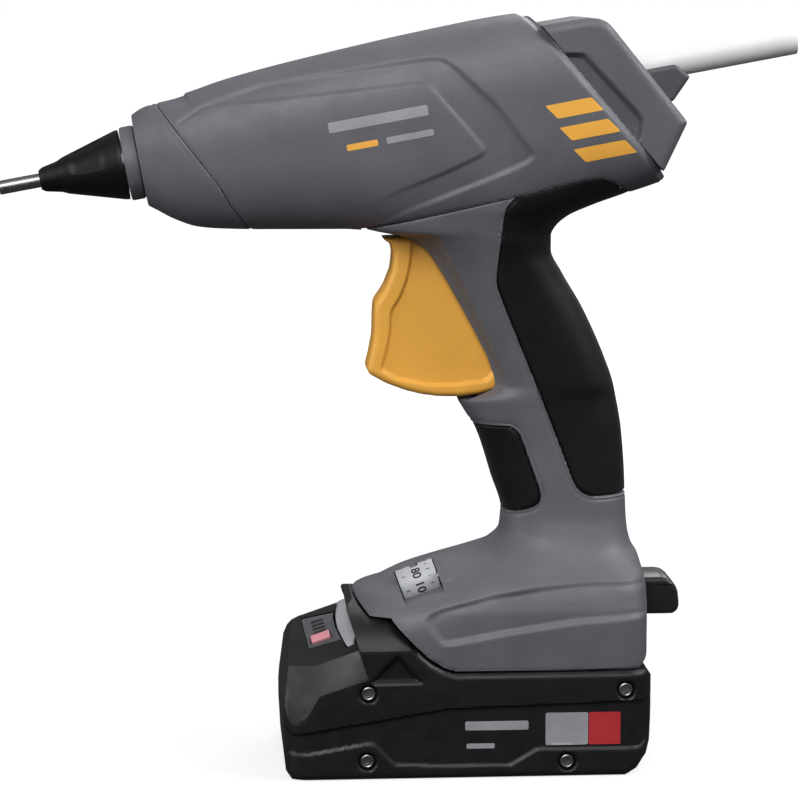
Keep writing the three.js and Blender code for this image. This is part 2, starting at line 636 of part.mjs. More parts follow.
function powerButton() {
  const cap = plate([[86, 52.6], [98.4, 52.6], [100.2, 54], [100.7, 56], [100.2, 61], [98.8, 64],
    [96.6, 65.8], [94.6, 66.2], [86, 66.2]], -10.9, 10.9, 1.2, 2);
  const flange = block([81.8, -8, 53.6], [86.6, 8, 65.2]);
  return union(cap, flange);
}

function switchBody() {
  return block([66, -9, 53.4], [79, 9, 65.4]);
}

function controlBoard() {
  const board = block([22, -26, 50.2], [64, 26, 51.8]);
  const parts = [
    block([28, -20, 51.6], [40, -8, 57]),
    rod('z', 4, 51.6, 61, [50, -14], 14),
    rod('z', 4, 51.6, 61, [50, -4], 14),
    block([30, 4, 51.6], [44, 12, 55]),
    block([50, 6, 51.6], [60, 20, 54]),
  ];
  return union(board, ...parts);
}

function terminalBlock() {
  const body = block([73.4, -20, 39.6], [78.3, 20, RAIL.top + 0.3]);
  return body.subtract(union(...BLADE_OFFSETS.map((y) => block([73, y - 0.7, 40.2], [76.4, y + 0.7, 45]))));
}

function contactBlade(y) {
  return block([64.5, y - 0.4, 40.5], [76.1, y + 0.4, 44.7]);
}

// ---------------------------------------------------------------- battery

/** The joint between the battery's upper and lower shell, front to rear. */
const PACK_JOINT = [[-60, 27], [-43, 18.9], [-40.6, 16.3], [15, 25.3], [100, 27.7]];

const PACK_OUTLINE = [[-42.8, 3], [-40.6, 0], [77.6, 0], [81.8, 2.4], [85.6, 7.2], [86.8, 12],
  [PACK_REAR, 26], [PACK_REAR, 35], [85.4, PACK_TOP], [17, PACK_TOP], [13, 39.1], [8.2, 41.9],
  [2.7, 46.9], [-4.4, 54.2], [-5.8, 56.2], [-12.7, 56], [-16, 59], [-17.6, 61], [-20, 59.4],
  [-20.5, 57.35], [-37, 51.7], [-39.4, 50], [-40.8, 46.4], [-41.8, 38], [PACK_FRONT, 22],
  [PACK_FRONT, 17]];

// The battery's front top is a roof: its ridge starts at x, z and rises to the rear, and both slopes fall
// to the sides. Below each slope lie two facets, which meet on the battery's side at one corner. A facet
// meets the side along a line that rises by turn, and leans in by lean. All angles are in degrees.
const ROOF = { x: -37, z: 51.7, length: 17.6, rise: 18.9, fall: 20 };
const FACET_CORNER = { x: -30.8, z: 30.8 };
const FACETS = [{ turn: 18.4, lean: 63.4, length: 18 }, { turn: 59.2, lean: 52.7, length: FAR }];
const ROOF_WALL = 3.6;

/** The battery's plan form: a rectangle with round corners, as a tall tool. */
function packPlan(inset = 0) {
  const x0 = PACK_FRONT + inset;
  const x1 = PACK_REAR - inset;
  const half = PACK_HALF - inset;
  const r = PACK_CORNER - inset;
  const shape = new THREE.Shape();
  shape.absarc(x0 + r, -half + r, r, Math.PI, 1.5 * Math.PI);
  shape.absarc(x1 - r, -half + r, r, 1.5 * Math.PI, 2 * Math.PI);
  shape.absarc(x1 - r, half - r, r, 0, 0.5 * Math.PI);
  shape.absarc(x0 + r, half - r, r, 0.5 * Math.PI, Math.PI);
  return solidOf(new THREE.ExtrudeGeometry(shape, { depth: FAR, bevelEnabled: false, curveSegments: 5 }));
}

/** The arch that the battery's front rises to, a cross section of the foot's front. */
function archTool(half, top, power, x0, x1) {
  const ring = (x) => ({ low: [x, 10], high: [x, top], half, lowPower: 9, highPower: power });
  return loft([ring(x1), ring(x0)], 36);
}

/** Moves a solid made at the origin onto a slope of the battery's roof, left (-1) or right (+1). */
function onRoof(solid, side) {
  return solid.rotate([-side * ROOF.fall, -ROOF.rise, 0]).translate([ROOF.x, 0, ROOF.z]);
}

/** All that the battery's sloping front leaves outside: above its roof, and beyond the facets below it. */
function outsideFront(inset = 0) {
  const aboveRoof = block([-FAR, -FAR, -inset], [ROOF.length, FAR, FAR]);
  const beyondFacet = ({ turn, lean, length }, side) => (
    block([-FAR, -FAR, -inset], [length, FAR, FAR])
      .rotate([-side * lean, -turn, 0])
      .translate([FACET_CORNER.x, side * PACK_HALF, FACET_CORNER.z]));
  return union(...[-1, 1].flatMap((side) => [
    onRoof(aboveRoof, side),
    ...FACETS.map((facet) => beyondFacet(facet, side)),
  ]));
}

function packForm() {
  const body = plate(PACK_OUTLINE, -PACK_HALF, PACK_HALF, 2.2, 2).intersect(packPlan());
  const low = block([-FAR, -FAR, 0], [FAR, FAR, 46]);
  const arch = archTool(PACK_HALF - 0.6, 61.2, 2.6, -60, 60);
  return union(body.intersect(low), body.intersect(arch)).subtract(outsideFront());
}

function packRoom() {
  const half = PACK_HALF - PACK_WALL;
  const inside = plate([[-39, PACK_WALL], [80, PACK_WALL], [85, 12], [85, 35.4], [10, 35.4], [-4, 43],
    [-22, 45], [-36, 42.6], [-39.4, 38], [-41, 20], [-41, 8]], -half, half);
  return inside.intersect(packPlan(PACK_WALL)).subtract(outsideFront(ROOF_WALL));
}

function aboveJoint(offset) {
  return plate([...shifted(PACK_JOINT, 0, offset), [100, 90], [-60, 90]], -FAR, FAR);
}

const PACK_SCREWS = [{ x: -13.7, z: 31.2 }, { x: 77.6, z: 31.2 }, { x: -14.2, z: 6.8 }, { x: 56.8, z: 5.6 }];

function packBoss({ x, z }) {
  return rod('y', PACK_SCREW.boss, -PACK_HALF + 1, -PACK_HALF + 8, [x, z]);
}

function packScrewHole({ x, z }) {
  const recess = rod('y', PACK_SCREW.recess, -FAR, -PACK_HALF + PACK_SCREW.seat, [x, z]);
  return recess.add(rod('y', PACK_SCREW.shank + GAP, -FAR, -PACK_HALF + 7.6, [x, z], 12));
}

function packScrew(place) {
  return screw(PACK_SCREW, PACK_HALF - PACK_SCREW.seat + GAP, place).mirror([0, 1, 0]);
}

// The release bar is an arch with a flat crown, which straddles a core inside the battery's front.
const BAR = {
  front: -24, rear: -17.8, foot: 45.2, half: 30, top: 59.4, crown: 57.6, coreHalf: 24, coreTop: 49.6,
};
const BAR_POWER = 2.4; // squareness of its arch
const BAR_ROOM = 0.6; // round the bar, in front of it and above it
const BAR_TRAVEL = 1.4;
const LATCH = { height: 52.6, radius: 2, wire: 0.25, turns: 4, rear: -12.7 }; // the spring behind the bar

// Outlines on the roof's left slope, [x, y], of the gauge window and of the charge button in it.
const GAUGE = [[0.6, -2.4], [13, -5.4], [13, -23.8], [0.4, -22.4]];
const CHARGE = [[2, -20.7], [9.1, -20.7], [9.1, -16.1], [2, -16.1]];
const GAUGE_WINDOW = { bottom: -1.6, top: -0.2 }; // heights over the slope
const CHARGE_BUTTON = { bottom: -4.2, top: 0.7 };
const CHARGE_HOLE_BOTTOM = -6;

/** All that lies within the release bar's side view, grown by a room, as far as a rear face. */
function barSide(room, rear) {
  const front = BAR.front - room;
  const outline = [[front + 4.4, BAR.foot - room], [rear, BAR.foot - room], [rear, BAR.crown + room],
    [front + 2.6, BAR.crown + room], [front + 0.8, 55.2], [front, 52.6], [front + 0.5, 50.4],
    [front + 2.4, 47.6]];
  return plate(outline, -PACK_HALF, PACK_HALF);
}

/** The room for the release bar, over the core that the bar straddles, and for its spring. */
function releasePocket() {
  const front = BAR.front - BAR_ROOM;
  const rear = BAR.rear + BAR_TRAVEL;
  const room = archTool(BAR.half + BAR_ROOM, BAR.top + BAR_ROOM, BAR_POWER, front, rear)
    .intersect(barSide(BAR_ROOM, rear));
  const core = archTool(BAR.coreHalf - GAP, BAR.coreTop - GAP, BAR_POWER, front - 1, rear + 1);
  const spring = rod('x', LATCH.radius + LATCH.wire + GAP, rear - 1, LATCH.rear, [0, LATCH.height], 12);
  return union(room.subtract(core), spring);
}

const THIN = 0.01; // the least thickness of a grown outline's edge

/** An outline on the roof's left slope, made solid from one height over the slope to another, and grown. */
function roofPanel(outline, from, to, growth = 0) {
  const shape = new THREE.Shape(outline.map(([x, y]) => new THREE.Vector2(x, y)));
  const geometry = new THREE.ExtrudeGeometry(shape, {
    depth: to - from,
    bevelEnabled: growth > 0,
    bevelThickness: THIN,
    bevelSize: growth,
    bevelSegments: 1,
  });
  geometry.translate(0, 0, from);
  return onRoof(solidOf(geometry), -1);
}

function batteryUpperShell() {
  const room = packRoom();
  const bosses = PACK_SCREWS.slice(0, 2).map((at) => packBoss(at).intersect(packForm()));
  const rail = block([RAIL.front, -RAIL.half, 36], [RAIL.rear, RAIL.half, RAIL.top]);
  const railRoom = block([24, -RAIL.half + 3, 30], [60, RAIL.half - 3, RAIL.top - 2.4]);
  const slots = BLADE_OFFSETS.map((y) => block([60, y - 1.1, 38.6], [80, y + 1.1, 60]));
  const shell = union(packForm().subtract(room), rail, ...bosses).subtract(railRoom);
  const gauge = roofPanel(GAUGE, GAUGE_WINDOW.bottom - GAP, FAR, GAP);
  const button = roofPanel(CHARGE, CHARGE_HOLE_BOTTOM, FAR, GAP);
  const cuts = union(releasePocket(), gauge, button, ...slots,
    ...PACK_SCREWS.slice(0, 2).map((at) => packScrewHole(at)));
  return largest(shell.subtract(cuts).intersect(aboveJoint(GAP / 2)));
}

function batteryLowerShell() {
  const lower = PACK_SCREWS.slice(2);
  const bosses = lower.map((at) => packBoss(at).intersect(packForm()));
  const shell = union(packForm().subtract(packRoom()), ...bosses).subtract(aboveJoint(-GAP / 2));
  return largest(shell.subtract(union(...lower.map((at) => packScrewHole(at)))));
}

/** The arched bar across the battery's front that is pressed back to free the battery. */
function releaseButton() {
  return archTool(BAR.half, BAR.top, BAR_POWER, BAR.front, BAR.rear)
    .intersect(barSide(0, BAR.rear))
    .subtract(archTool(BAR.coreHalf, BAR.coreTop, BAR_POWER, BAR.front - 1, BAR.rear + 1));
}

function latchSpring() {
  const clearance = LATCH.wire + GAP;
  return coil(BAR.rear + clearance, LATCH.rear - clearance, LATCH.radius, LATCH.wire, LATCH.turns)
    .translate([0, 0, LATCH.height]);
}

/** The grey window over the charge gauge, with a hole for the button, and clear of the release bar. */
function gaugeWindow() {
  const hole = roofPanel(CHARGE, CHARGE_HOLE_BOTTOM, FAR, GAP);
  const bar = barSide(BAR_ROOM + GAP, BAR.rear);
  return roofPanel(GAUGE, GAUGE_WINDOW.bottom, GAUGE_WINDOW.top).subtract(union(hole, bar));
}

function chargeButton() {
  return roofPanel(CHARGE, CHARGE_BUTTON.bottom, CHARGE_BUTTON.top);
}

function batteryCell(index) {
  const x = FIRST_CELL_X + index * CELL_PITCH;
  const left = CELL_SHIFT - CELL_LENGTH / 2;
  const right = CELL_SHIFT + CELL_LENGTH / 2;
  const shoulder = right - CELL_CAP.height;
  const can = rod('y', CELL_RADIUS, left, shoulder, [x, CELL_HEIGHT], 20);
  const cap = rod('y', CELL_CAP.radius, shoulder - CELL_CAP.sunk, right, [x, CELL_HEIGHT], 12);
  return can.add(cap);
}

/** The cradle that the cells lie in. */
function cellHolder() {
  const firstX = FIRST_CELL_X - CELL_RADIUS - 1.4;
  const lastX = FIRST_CELL_X + (CELL_COUNT - 1) * CELL_PITCH + CELL_RADIUS + 1.4;
  const base = block([firstX, -24, PACK_WALL + GAP], [lastX, 24, CELL_HEIGHT - 1.6]);
  const beds = Array.from({ length: CELL_COUNT }, (_, index) => (
    rod('y', CELL_RADIUS + GAP, -40, 40, [FIRST_CELL_X + index * CELL_PITCH, CELL_HEIGHT], 20)));
  return base.subtract(union(...beds));
}

function batteryBoard() {
  const board = block([-8, -22, 26], [70, 22, 27.4]);
  const chip = block([20, -10, 27.2], [34, 6, 29.4]);
  const clips = BLADE_OFFSETS.map((y) => block([50, y - 3, 27.2], [58, y + 3, 34]));
  return union(board, chip, ...clips);
}

/** The wires from the control board up the back of the handle to the heating element. */
function heaterWires() {
  const route = new THREE.CatmullRomCurve3([[58, 0, 53.8], [58.5, 0, 64], [67, 0, 84], [71.6, 0, 106],
    [68, 0, 136], [58, 0, 160], [46, 0, 178], [42, 0, 192], [36, 2, 206], [20, 10, 212], [0, 14, 213],
    [-24, 13, 210]].map(([x, y, z]) => new THREE.Vector3(x, y, z)));
  return solidOf(new THREE.ExtrudeGeometry(wireSection(1.6, 6), {
    extrudePath: route,
    steps: 30,
    bevelEnabled: false,
  }));
}

// ---------------------------------------------------------------- assembly

const group = new THREE.Group();
const barrelLine = new THREE.Group();
barrelLine.rotation.y = -BARREL_TILT;
barrelLine.position.z = BARREL_HEIGHT;
const dialLine = new THREE.Group();
dialLine.rotation.y = -DIAL_SLOPE;
dialLine.position.set(DIAL.x, DIAL.y, DIAL.z);
group.add(barrelLine, dialLine);

function part(name, solid, look, parent = group) {
  const mesh = new THREE.Mesh(geometryOf(solid), new THREE.MeshStandardMaterial(look));
  mesh.name = name;
  parent.add(mesh);
}

part('nozzle_tip', nozzleTip(), STEEL, barrelLine);
part('valve_ball', valveBall(), STEEL, barrelLine);
part('valve_spring', coil(-106.6, -93, 2, 0.3, 4), STEEL, barrelLine);
part('nozzle_sleeve', nozzleSleeve(), SILICONE, barrelLine);
part('nozzle_ring', nozzleRing(), HOUSING, barrelLine);
part('melt_chamber', meltChamber(), ALUMINIUM, barrelLine);
part('heating_element', heatingElement(), WHITE, barrelLine);
part('heater_clip', heaterClip(), STEEL, barrelLine);
part('temperature_sensor', temperatureSensor(), BRASS, barrelLine);
part('insulation_sleeve', insulationSleeve(), MICA, barrelLine);
part('inlet_sleeve', inletSleeve(), SILICONE, barrelLine);

part('glue_stick', glueStick(), GLUE, barrelLine);
part('feed_carriage', feedCarriage(), PLAIN_NYLON, barrelLine);
part('gripper_claw', gripperClaw(), STEEL, barrelLine);
part('feed_funnel', feedFunnel(), HOUSING_DARK);

part('front_cap', frontCap(), HOUSING);
part('barrel_cover_left', barrelCover(LEFT, []), HOUSING);
part('barrel_cover_right', barrelCover(RIGHT, HOUSING_SCREWS.slice(0, 2)), HOUSING);
part('rear_housing_left', rearHousing(LEFT, []), HOUSING_DARK);
part('rear_housing_right', rearHousing(RIGHT, HOUSING_SCREWS.slice(2, 3)), HOUSING_DARK);
part('handle_left', handleShell(LEFT, []), HOUSING);
part('handle_right', handleShell(RIGHT, HOUSING_SCREWS.slice(3)), HOUSING);
part('rear_grip_left', pad(REAR_PAD, LEFT), RUBBER);
part('rear_grip_right', pad(REAR_PAD, RIGHT), RUBBER);
part('front_grip_left', pad(FRONT_PAD, LEFT), RUBBER);
part('front_grip_right', pad(FRONT_PAD, RIGHT), RUBBER);
HOUSING_SCREWS.forEach((at, index) => part(`housing_screw_${index + 1}`, housingScrew(at), BLACK_STEEL));

part('trigger', trigger(), ORANGE);
part('drive_lever', driveLever(), STEEL);
part('trigger_pivot_pin', triggerPivotPin(), STEEL);
part('trigger_return_spring', triggerReturnSpring(), STEEL);

part('temperature_dial', temperatureDial(), WHITE, dialLine);
part('potentiometer', potentiometer(), ALUMINIUM, dialLine);
part('power_button', powerButton(), PACK_BLACK);
part('switch_body', switchBody(), PACK_BLACK);
part('control_board', controlBoard(), CIRCUIT);
part('heater_wires', heaterWires(), RUBBER);
part('terminal_block', terminalBlock(), PACK_BLACK);
BLADE_OFFSETS.forEach((y, index) => part(`contact_blade_${index + 1}`, contactBlade(y), BRASS));

part('battery_upper_shell', batteryUpperShell(), PACK_BLACK);
part('battery_lower_shell', batteryLowerShell(), PACK_BLACK);
part('release_button', releaseButton(), HOUSING);
part('latch_spring', latchSpring(), STEEL);
part('gauge_window', gaugeWindow(), HOUSING_DARK);
part('charge_button', chargeButton(), PINK);
for (let index = 0; index < CELL_COUNT; index += 1) {
  part(`battery_cell_${index + 1}`, batteryCell(index), CELL_WRAP);
}
part('cell_holder', cellHolder(), PLAIN_NYLON);
part('battery_board', batteryBoard(), CIRCUIT);
PACK_SCREWS.forEach((at, index) => part(`battery_screw_${index + 1}`, packScrew(at), BLACK_STEEL));

export default group;
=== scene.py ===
"""Looks for a cordless hot-glue gun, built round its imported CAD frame.

Shapes are worked out in millimetres and made in metres, in the frame's own axes: the nozzle points
along -X, +Z is up, and the side that faces the camera is -Y.
"""

import json
import math
from contextlib import contextmanager

import bmesh
import bpy
import numpy as np
from mathutils import Matrix, Vector


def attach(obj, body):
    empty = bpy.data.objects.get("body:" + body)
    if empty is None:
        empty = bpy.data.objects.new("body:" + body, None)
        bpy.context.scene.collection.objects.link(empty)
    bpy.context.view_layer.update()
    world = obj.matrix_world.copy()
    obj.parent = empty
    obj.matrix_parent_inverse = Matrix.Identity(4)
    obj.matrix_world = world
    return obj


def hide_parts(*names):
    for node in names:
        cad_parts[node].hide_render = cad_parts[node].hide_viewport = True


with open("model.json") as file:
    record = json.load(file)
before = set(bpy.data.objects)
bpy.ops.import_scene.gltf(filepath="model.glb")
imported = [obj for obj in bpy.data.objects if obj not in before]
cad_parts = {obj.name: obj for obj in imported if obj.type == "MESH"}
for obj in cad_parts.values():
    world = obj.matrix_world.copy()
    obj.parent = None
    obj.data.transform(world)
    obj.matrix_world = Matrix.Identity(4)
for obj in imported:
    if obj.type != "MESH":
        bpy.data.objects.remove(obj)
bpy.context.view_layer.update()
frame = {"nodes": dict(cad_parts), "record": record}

# ---------------- driving dimensions, in millimetres

MM = 0.001
GAP = 0.3  # between pieces that touch
WALL = 2.4  # of the housing
FAR = 200  # longer than any piece, for cutting tools
FINE = 0.6  # grid of the shells' outer surfaces
COARSE = 4.0  # grid of their inner surfaces
MEDIUM = 2.0  # the same, where the outer surface is close

TILT = math.radians(10.4)  # of the barrel
BARREL_HEIGHT = 233.5  # of the barrel's axis, at x = 0
PIVOT = (16.8, 185.3)  # of the trigger
TRIGGER_HALF = 9.4
TRIGGER_SWEEP = 54.2
GRIP_WALL = 4.2
GRIP_FOOT = 92  # height at which the grip's thicker wall starts
REAR_HALF = 24  # half width of the housing behind the barrel
STICK_RADIUS = 5.5
CAP_FRONT = -93.7  # of the barrel, along its axis
CHAMBER_BORE = 11.2  # radius of the hole in the cap
FOOT_FLOOR = 48.4  # top of the foot's floor
FOOT_SINK = 2.4  # how far the foot's room lies below its sloping top

DIAL = (6.3, -10, 65.3)  # middle of the temperature dial
DIAL_SLOPE = math.radians(19.5)
DIAL_RADIUS = 7
DIAL_HALF = 7
DIAL_NUMBERS = 8
DIAL_WALL = ((-12, -26, 48), (18, -0.2, 66))  # the block in the foot that holds the dial
BUTTON_HOLE = ((80, -11.4, 52.2), (92, 11.4, 66.6))

PACK_FRONT = -43.6
PACK_REAR = 87.6
PACK_HALF = 38
PACK_CORNER = 9
PACK_WALL = 2.3
ARCH_FOOT = 46  # height from which the battery narrows to its arch
ROOF = (-37, 0, 51.7)  # lower end of the battery's sloping front top
ROOF_RISE = math.radians(18.9)
ROOF_FALL = math.radians(20)  # to each side
ROOF_LENGTH = 17.6
ROOF_WALL = 3.6
FACET_CORNER = (-30.8, 30.8)  # on the battery's side, where the two facets below the roof meet
FACETS = [(18.4, 63.4, 18), (59.2, 52.7, FAR)]  # turn and lean in degrees, and length
RAIL_TOP = 45.2  # of the battery, which slides into the foot
RAIL_HALF = 24.6
BLADE_OFFSETS = (-10, 10)  # of the contacts from the middle
BAR_FRONT = -24  # the release bar, an arch across the battery
BAR_REAR = -17.8
BAR_ROOM = 0.6  # round the bar
BAR_TRAVEL = 1.4
BAR_ARCH = (30, 59.4)  # half width and top of its outside
BAR_CORE = (24, 49.6)  # and of its inside
BAR_POWER = 2.4  # squareness of both
LATCH_HEIGHT = 52.6  # of the spring behind the bar
LATCH_REAR = -12.7

# Where the screws go in: x, z. Those of the housing carry the housing's half width at that place too.
COVER_SCREWS = [(-30, 203, 23.5), (60, 226, 25)]
REAR_SCREW = (88.5, 224.5, 23)
HANDLE_SCREW = (64, 108, 15)
PACK_SCREWS = [(-13.7, 31.2), (77.6, 31.2), (-14.2, 6.8), (56.8, 5.6)]

# ---------------- outlines, [x, z]

COVER_EDGE = [(-14.5, 193.3), (-2, 195.9), (64, 210.8), (70, 211.4), (79.5, 206.6), (84, 203.4),
              (93, 203.4)]
REAR_EDGE = [(93, 211.3), (41, 272.3)]
CAP_JOINT = [(-92.3, 245), (-64.1, 208.8), (-60.3, 202), (-49.8, 188)]
FOOT_EDGE = [(-30, 66), (-17.6, 64), (-17.3, 61.3), (-15.4, 59.6), (-12.4, 56.9), (-5.3, 57.1),
             (-3.9, 55.1), (3.1, 47.8), (8.6, 42.8), (13.3, 40), (17, 38.8), (83, 38.3), (90, 43.5)]

# Rings of the barrel: x, underside, top, half width and squareness.
BARREL_RINGS = [
    (-100, 205, 229, 12.6, 2.2), (-91.5, 202, 235.4, 15.4, 2.3), (-87, 199.8, 237.2, 17.8, 2.4),
    (-80, 196.2, 239.3, 20.6, 2.5), (-72, 193.6, 242, 22.4, 2.6), (-64, 192.9, 244.8, 23.8, 2.7),
    (-50, 192.6, 248.8, 25.6, 2.8), (-21, 192.6, 255.9, 27.4, 3), (7, 190, 262.2, 28, 3),
    (36, 191, 267.8, 28, 3), (60, 199.4, 270.6, 27.4, 3), (82, 205.4, 273.6, 27, 3), (104, 213, 277, 27, 3),
]

# Rings of the handle and foot: height, front, back, half width, squareness of the front and of the back.
HANDLE_RINGS = [
    (36, -18, 87.2, 36.9, 6, 7), (50, -18.2, 87.2, 37, 5, 7), (58, -18.2, 87.2, 36.8, 3.2, 7),
    (62, -17.3, 87.2, 36, 2.2, 6.5), (66, -9, 87.1, 34.4, 1.7, 6), (69.4, -2, 86.8, 31.5, 1.7, 5),
    (72.5, 8, 86.2, 28, 1.8, 4), (75.5, 20, 85.4, 25, 2, 3.4), (79, 31, 83.4, 22.4, 2.2, 3),
    (84, 36, 82.2, 20.3, 2.4, 2.8), (90, 36.6, 81.7, 18.8, 2.6, 2.7), (103, 32.8, 81.3, 17.7, 2.6, 2.6),
    (120, 27.2, 80, 17.2, 2.6, 2.5), (128, 22.3, 78.7, 17.2, 2.6, 2.5), (131.5, 20.6, 78, 17.3, 2.6, 2.5),
    (137, 28.8, 76.8, 17.5, 2.6, 2.5), (146, 26.6, 73.6, 17.8, 2.6, 2.5), (155, 22.5, 69.8, 18.2, 2.6, 2.5),
    (165, 17.5, 64.9, 18.8, 2.6, 2.5), (177, 11.3, 57.8, 20, 2.6, 2.5), (185, 6.6, 54, 21.5, 2.7, 2.5),
    (190, 0, 54, 22.8, 2.8, 2.5), (193, -13, 55.4, 23.6, 2.9, 2.6), (197, -15, 60, 24.2, 3, 2.6),
    (201, -15, 69, 24.8, 3, 2.7), (206, -15, 83, 25, 3, 2.7), (214, -15, 98, 25.2, 3, 3),
]

PANEL_OUTER = [(-69.3, 237.5), (-49.2, 244.7), (9.1, 253.4), (14.5, 252.8), (33, 235.5), (42.7, 222.3),
               (45, 219.6), (41.9, 217), (27.5, 210.9), (-1.8, 199.2), (-20, 188), (-90, 180), (-80, 230)]
PANEL_INNER = [(-68.6, 237.2), (-41.3, 239.9), (6.2, 245.3), (8.3, 244.6), (27, 223.2), (27.8, 221.5),
               (26.6, 219.6), (11.8, 212.7), (-1.5, 207.5), (-20, 198), (-60, 180), (-90, 180), (-80, 230)]
REAR_PAD = [(38, 204), (35.4, 200.6), (32.9, 177), (32.9, 173.4), (36.2, 164.6), (51.2, 128.3),
            (61.3, 101.8), (63.8, 98.8), (67.2, 97.3), (110, 97.3), (110, 220), (60, 220)]
FRONT_PAD = [(10, 122.6), (38, 122.6), (41, 120.8), (42.4, 117.8), (49.2, 98.6), (49, 95.8), (47, 93.7),
             (40.6, 91.6), (30, 90.2), (10, 90.2)]
TRIGGER_POCKET = [(-6, 191.9), (9.4, 191.8), (12.5, 190.5), (15.3, 185), (19.8, 175.5), (25.7, 163.7),
                  (31.2, 152.7), (34.5, 145), (36.1, 139.4), (35.9, 135.8), (32.2, 133.5), (25.4, 131.5),
                  (10, 131.5), (-30, 150)]
FOOT_BAND = [(7.4, 56.9), (10.1, 59.3), (29.6, 64.3), (48, 67), (64.3, 68.2), (90, 67.9), (90, 57.6),
             (61.3, 56.2), (36.9, 52.7), (15.3, 48.9), (12.4, 49)]
TRIGGER_OUTLINE = [(-6.8, 189.3), (-3.6, 187.2), (-2.8, 184), (-3.4, 178), (-5.9, 171.7), (-9.5, 166.4),
                   (-9.8, 162), (-10, 154), (-11.2, 147.6), (-12.4, 142.8), (-11.6, 141), (-5.5, 137.6),
                   (1.1, 135.1), (6.9, 133.6), (13.5, 132.7), (20.9, 132.6), (28, 133.4), (34, 135),
                   (35.4, 138.4), (30, 160), (25, 176), (22, 186), (19.6, 189.4), (14, 190)]
TRIGGER_SIDE = [(3.4, 192), (2.7, 181.1), (1.2, 174.3), (-1.3, 168.3), (-4.3, 163.8), (-4.6, 156.1),
                (-6.1, 148.7), (-8, 142.4), (-1.7, 138.8), (9.9, 136.6), (19, 136.5), (31, 137.9),
                (40, 150), (40, 192)]
DIAL_FACET = [(-1.3, 63.1), (15.7, 68.8), (17.6, 70.1), (21.1, 68.4), (17.2, 65), (-1.5, 59.7)]
DIAL_ENDS = [[(-2.8, 72), (-1.2, 63)], [(12.2, 77), (13.8, 68)]]
BUTTON_OUTLINE = [(86, 52.6), (98.4, 52.6), (100.2, 54), (100.7, 56), (100.2, 61), (98.8, 64), (96.6, 65.8),
                  (94.6, 66.2), (86, 66.2)]

REAR_OUTLINE = [(85.5, 212), (91.4, 213.6), (99.6, 230.9), (73.4, 263.2), (71.2, 265.6), (68, 267),
                (64, 267.2), (49.4, 264.8), (43.4, 263.2)]
REAR_ROOM = [(80, 214.6), (89.8, 216.4), (96.6, 230.6), (71.6, 261.2), (68, 264.2), (64, 264.6),
             (40, 260.4)]
REAR_OPENING = [(70, 190), (86, 208), (41, 260), (30, 268), (20, 240)]
REAR_RECESS = [(54.2, 255.2), (62.8, 255.2), (64.5, 253.3), (83, 233.6), (84, 231), (82.7, 223.6),
               (60, 223), (40, 250)]
FUNNEL_OUTLINE = [(68, 233.2), (91, 236.9), (96.4, 237.6), (102.4, 246.3), (97.2, 250.6), (68, 245.2)]

PACK_OUTLINE = [(-42.8, 3), (-40.6, 0), (77.6, 0), (81.8, 2.4), (85.6, 7.2), (86.8, 12), (PACK_REAR, 26),
                (PACK_REAR, 35), (85.4, 37.9), (17, 37.9), (13, 39.1), (8.2, 41.9), (2.7, 46.9),
                (-4.4, 54.2), (-5.8, 56.2), (-12.7, 56), (-16, 59), (-17.6, 61), (-20, 59.4),
                (-20.5, 57.35), (-37, 51.7), (-39.4, 50), (-40.8, 46.4), (-41.8, 38), (PACK_FRONT, 22),
                (PACK_FRONT, 17)]
PACK_ROOM = [(-39, PACK_WALL), (80, PACK_WALL), (85, 12), (85, 35.4), (10, 35.4), (-4, 43), (-22, 45),
             (-36, 42.6), (-39.4, 38), (-41, 20), (-41, 8)]
PACK_JOINT = [(-60, 27), (-43, 18.9), (-40.6, 16.3), (15, 25.3), (100, 27.7)]
PACK_RIDGE = [(100, 13), (86, 13), (82.8, 10.1), (46.3, 10.4), (36.4, 4.4), (-4.3, 5.2), (-11.5, 12.6),
              (-13.1, 13.3), (-33.4, 9.8), (-60, 9)]
PACK_DIMPLE = [(-13.9, 34.6), (5.8, 34.7), (-3.4, 45.2)]

# Outlines on the left slope of the battery's roof: [x, y].
GAUGE = [(0.6, -2.4), (13, -5.4), (13, -23.8), (0.4, -22.4)]
CHARGE = [(2, -20.7), (9.1, -20.7), (9.1, -16.1), (2, -16.1)]
GAUGE_BARS = [-7.2, -9.6, -12, -14.4]  # y of the middle of each bar

# ---------------- curves and distances


def smoothstep(low, high, value):
    share = np.clip((value - low) / (high - low), 0, 1)
    return share * share * (3 - 2 * share)


def monotone(xs, ys, at):
    """A smooth curve through points that never overshoots them, read at the given places."""
    xs, ys = np.array(xs, float), np.array(ys, float)
    step = np.diff(xs)
    slope = np.diff(ys) / step
    product, total = slope[:-1] * slope[1:], slope[:-1] + slope[1:]
    inner = np.where(product > 0, 2 * product / np.where(total == 0, 1, total), 0)
    tangent = np.concatenate([slope[:1], inner, slope[-1:]])
    i = np.clip(np.searchsorted(xs, at) - 1, 0, len(step) - 1)
    t = (at - xs[i]) / step[i]
    return ((1 + 2 * t) * (1 - t) ** 2 * ys[i] + t * (1 - t) ** 2 * step[i] * tangent[i]
            + t * t * (3 - 2 * t) * ys[i + 1] + t * t * (t - 1) * step[i] * tangent[i + 1])


def beside(line, x, z):
    """The distance of each point from an open line of [x, z] points."""
    nearest = np.full(np.shape(x), np.inf)
    for (x0, z0), (x1, z1) in zip(line[:-1], line[1:]):
        dx, dz = x1 - x0, z1 - z0
        along = np.clip(((x - x0) * dx + (z - z0) * dz) / (dx * dx + dz * dz), 0, 1)
        nearest = np.minimum(nearest, np.hypot(x - x0 - along * dx, z - z0 - along * dz))
    return nearest


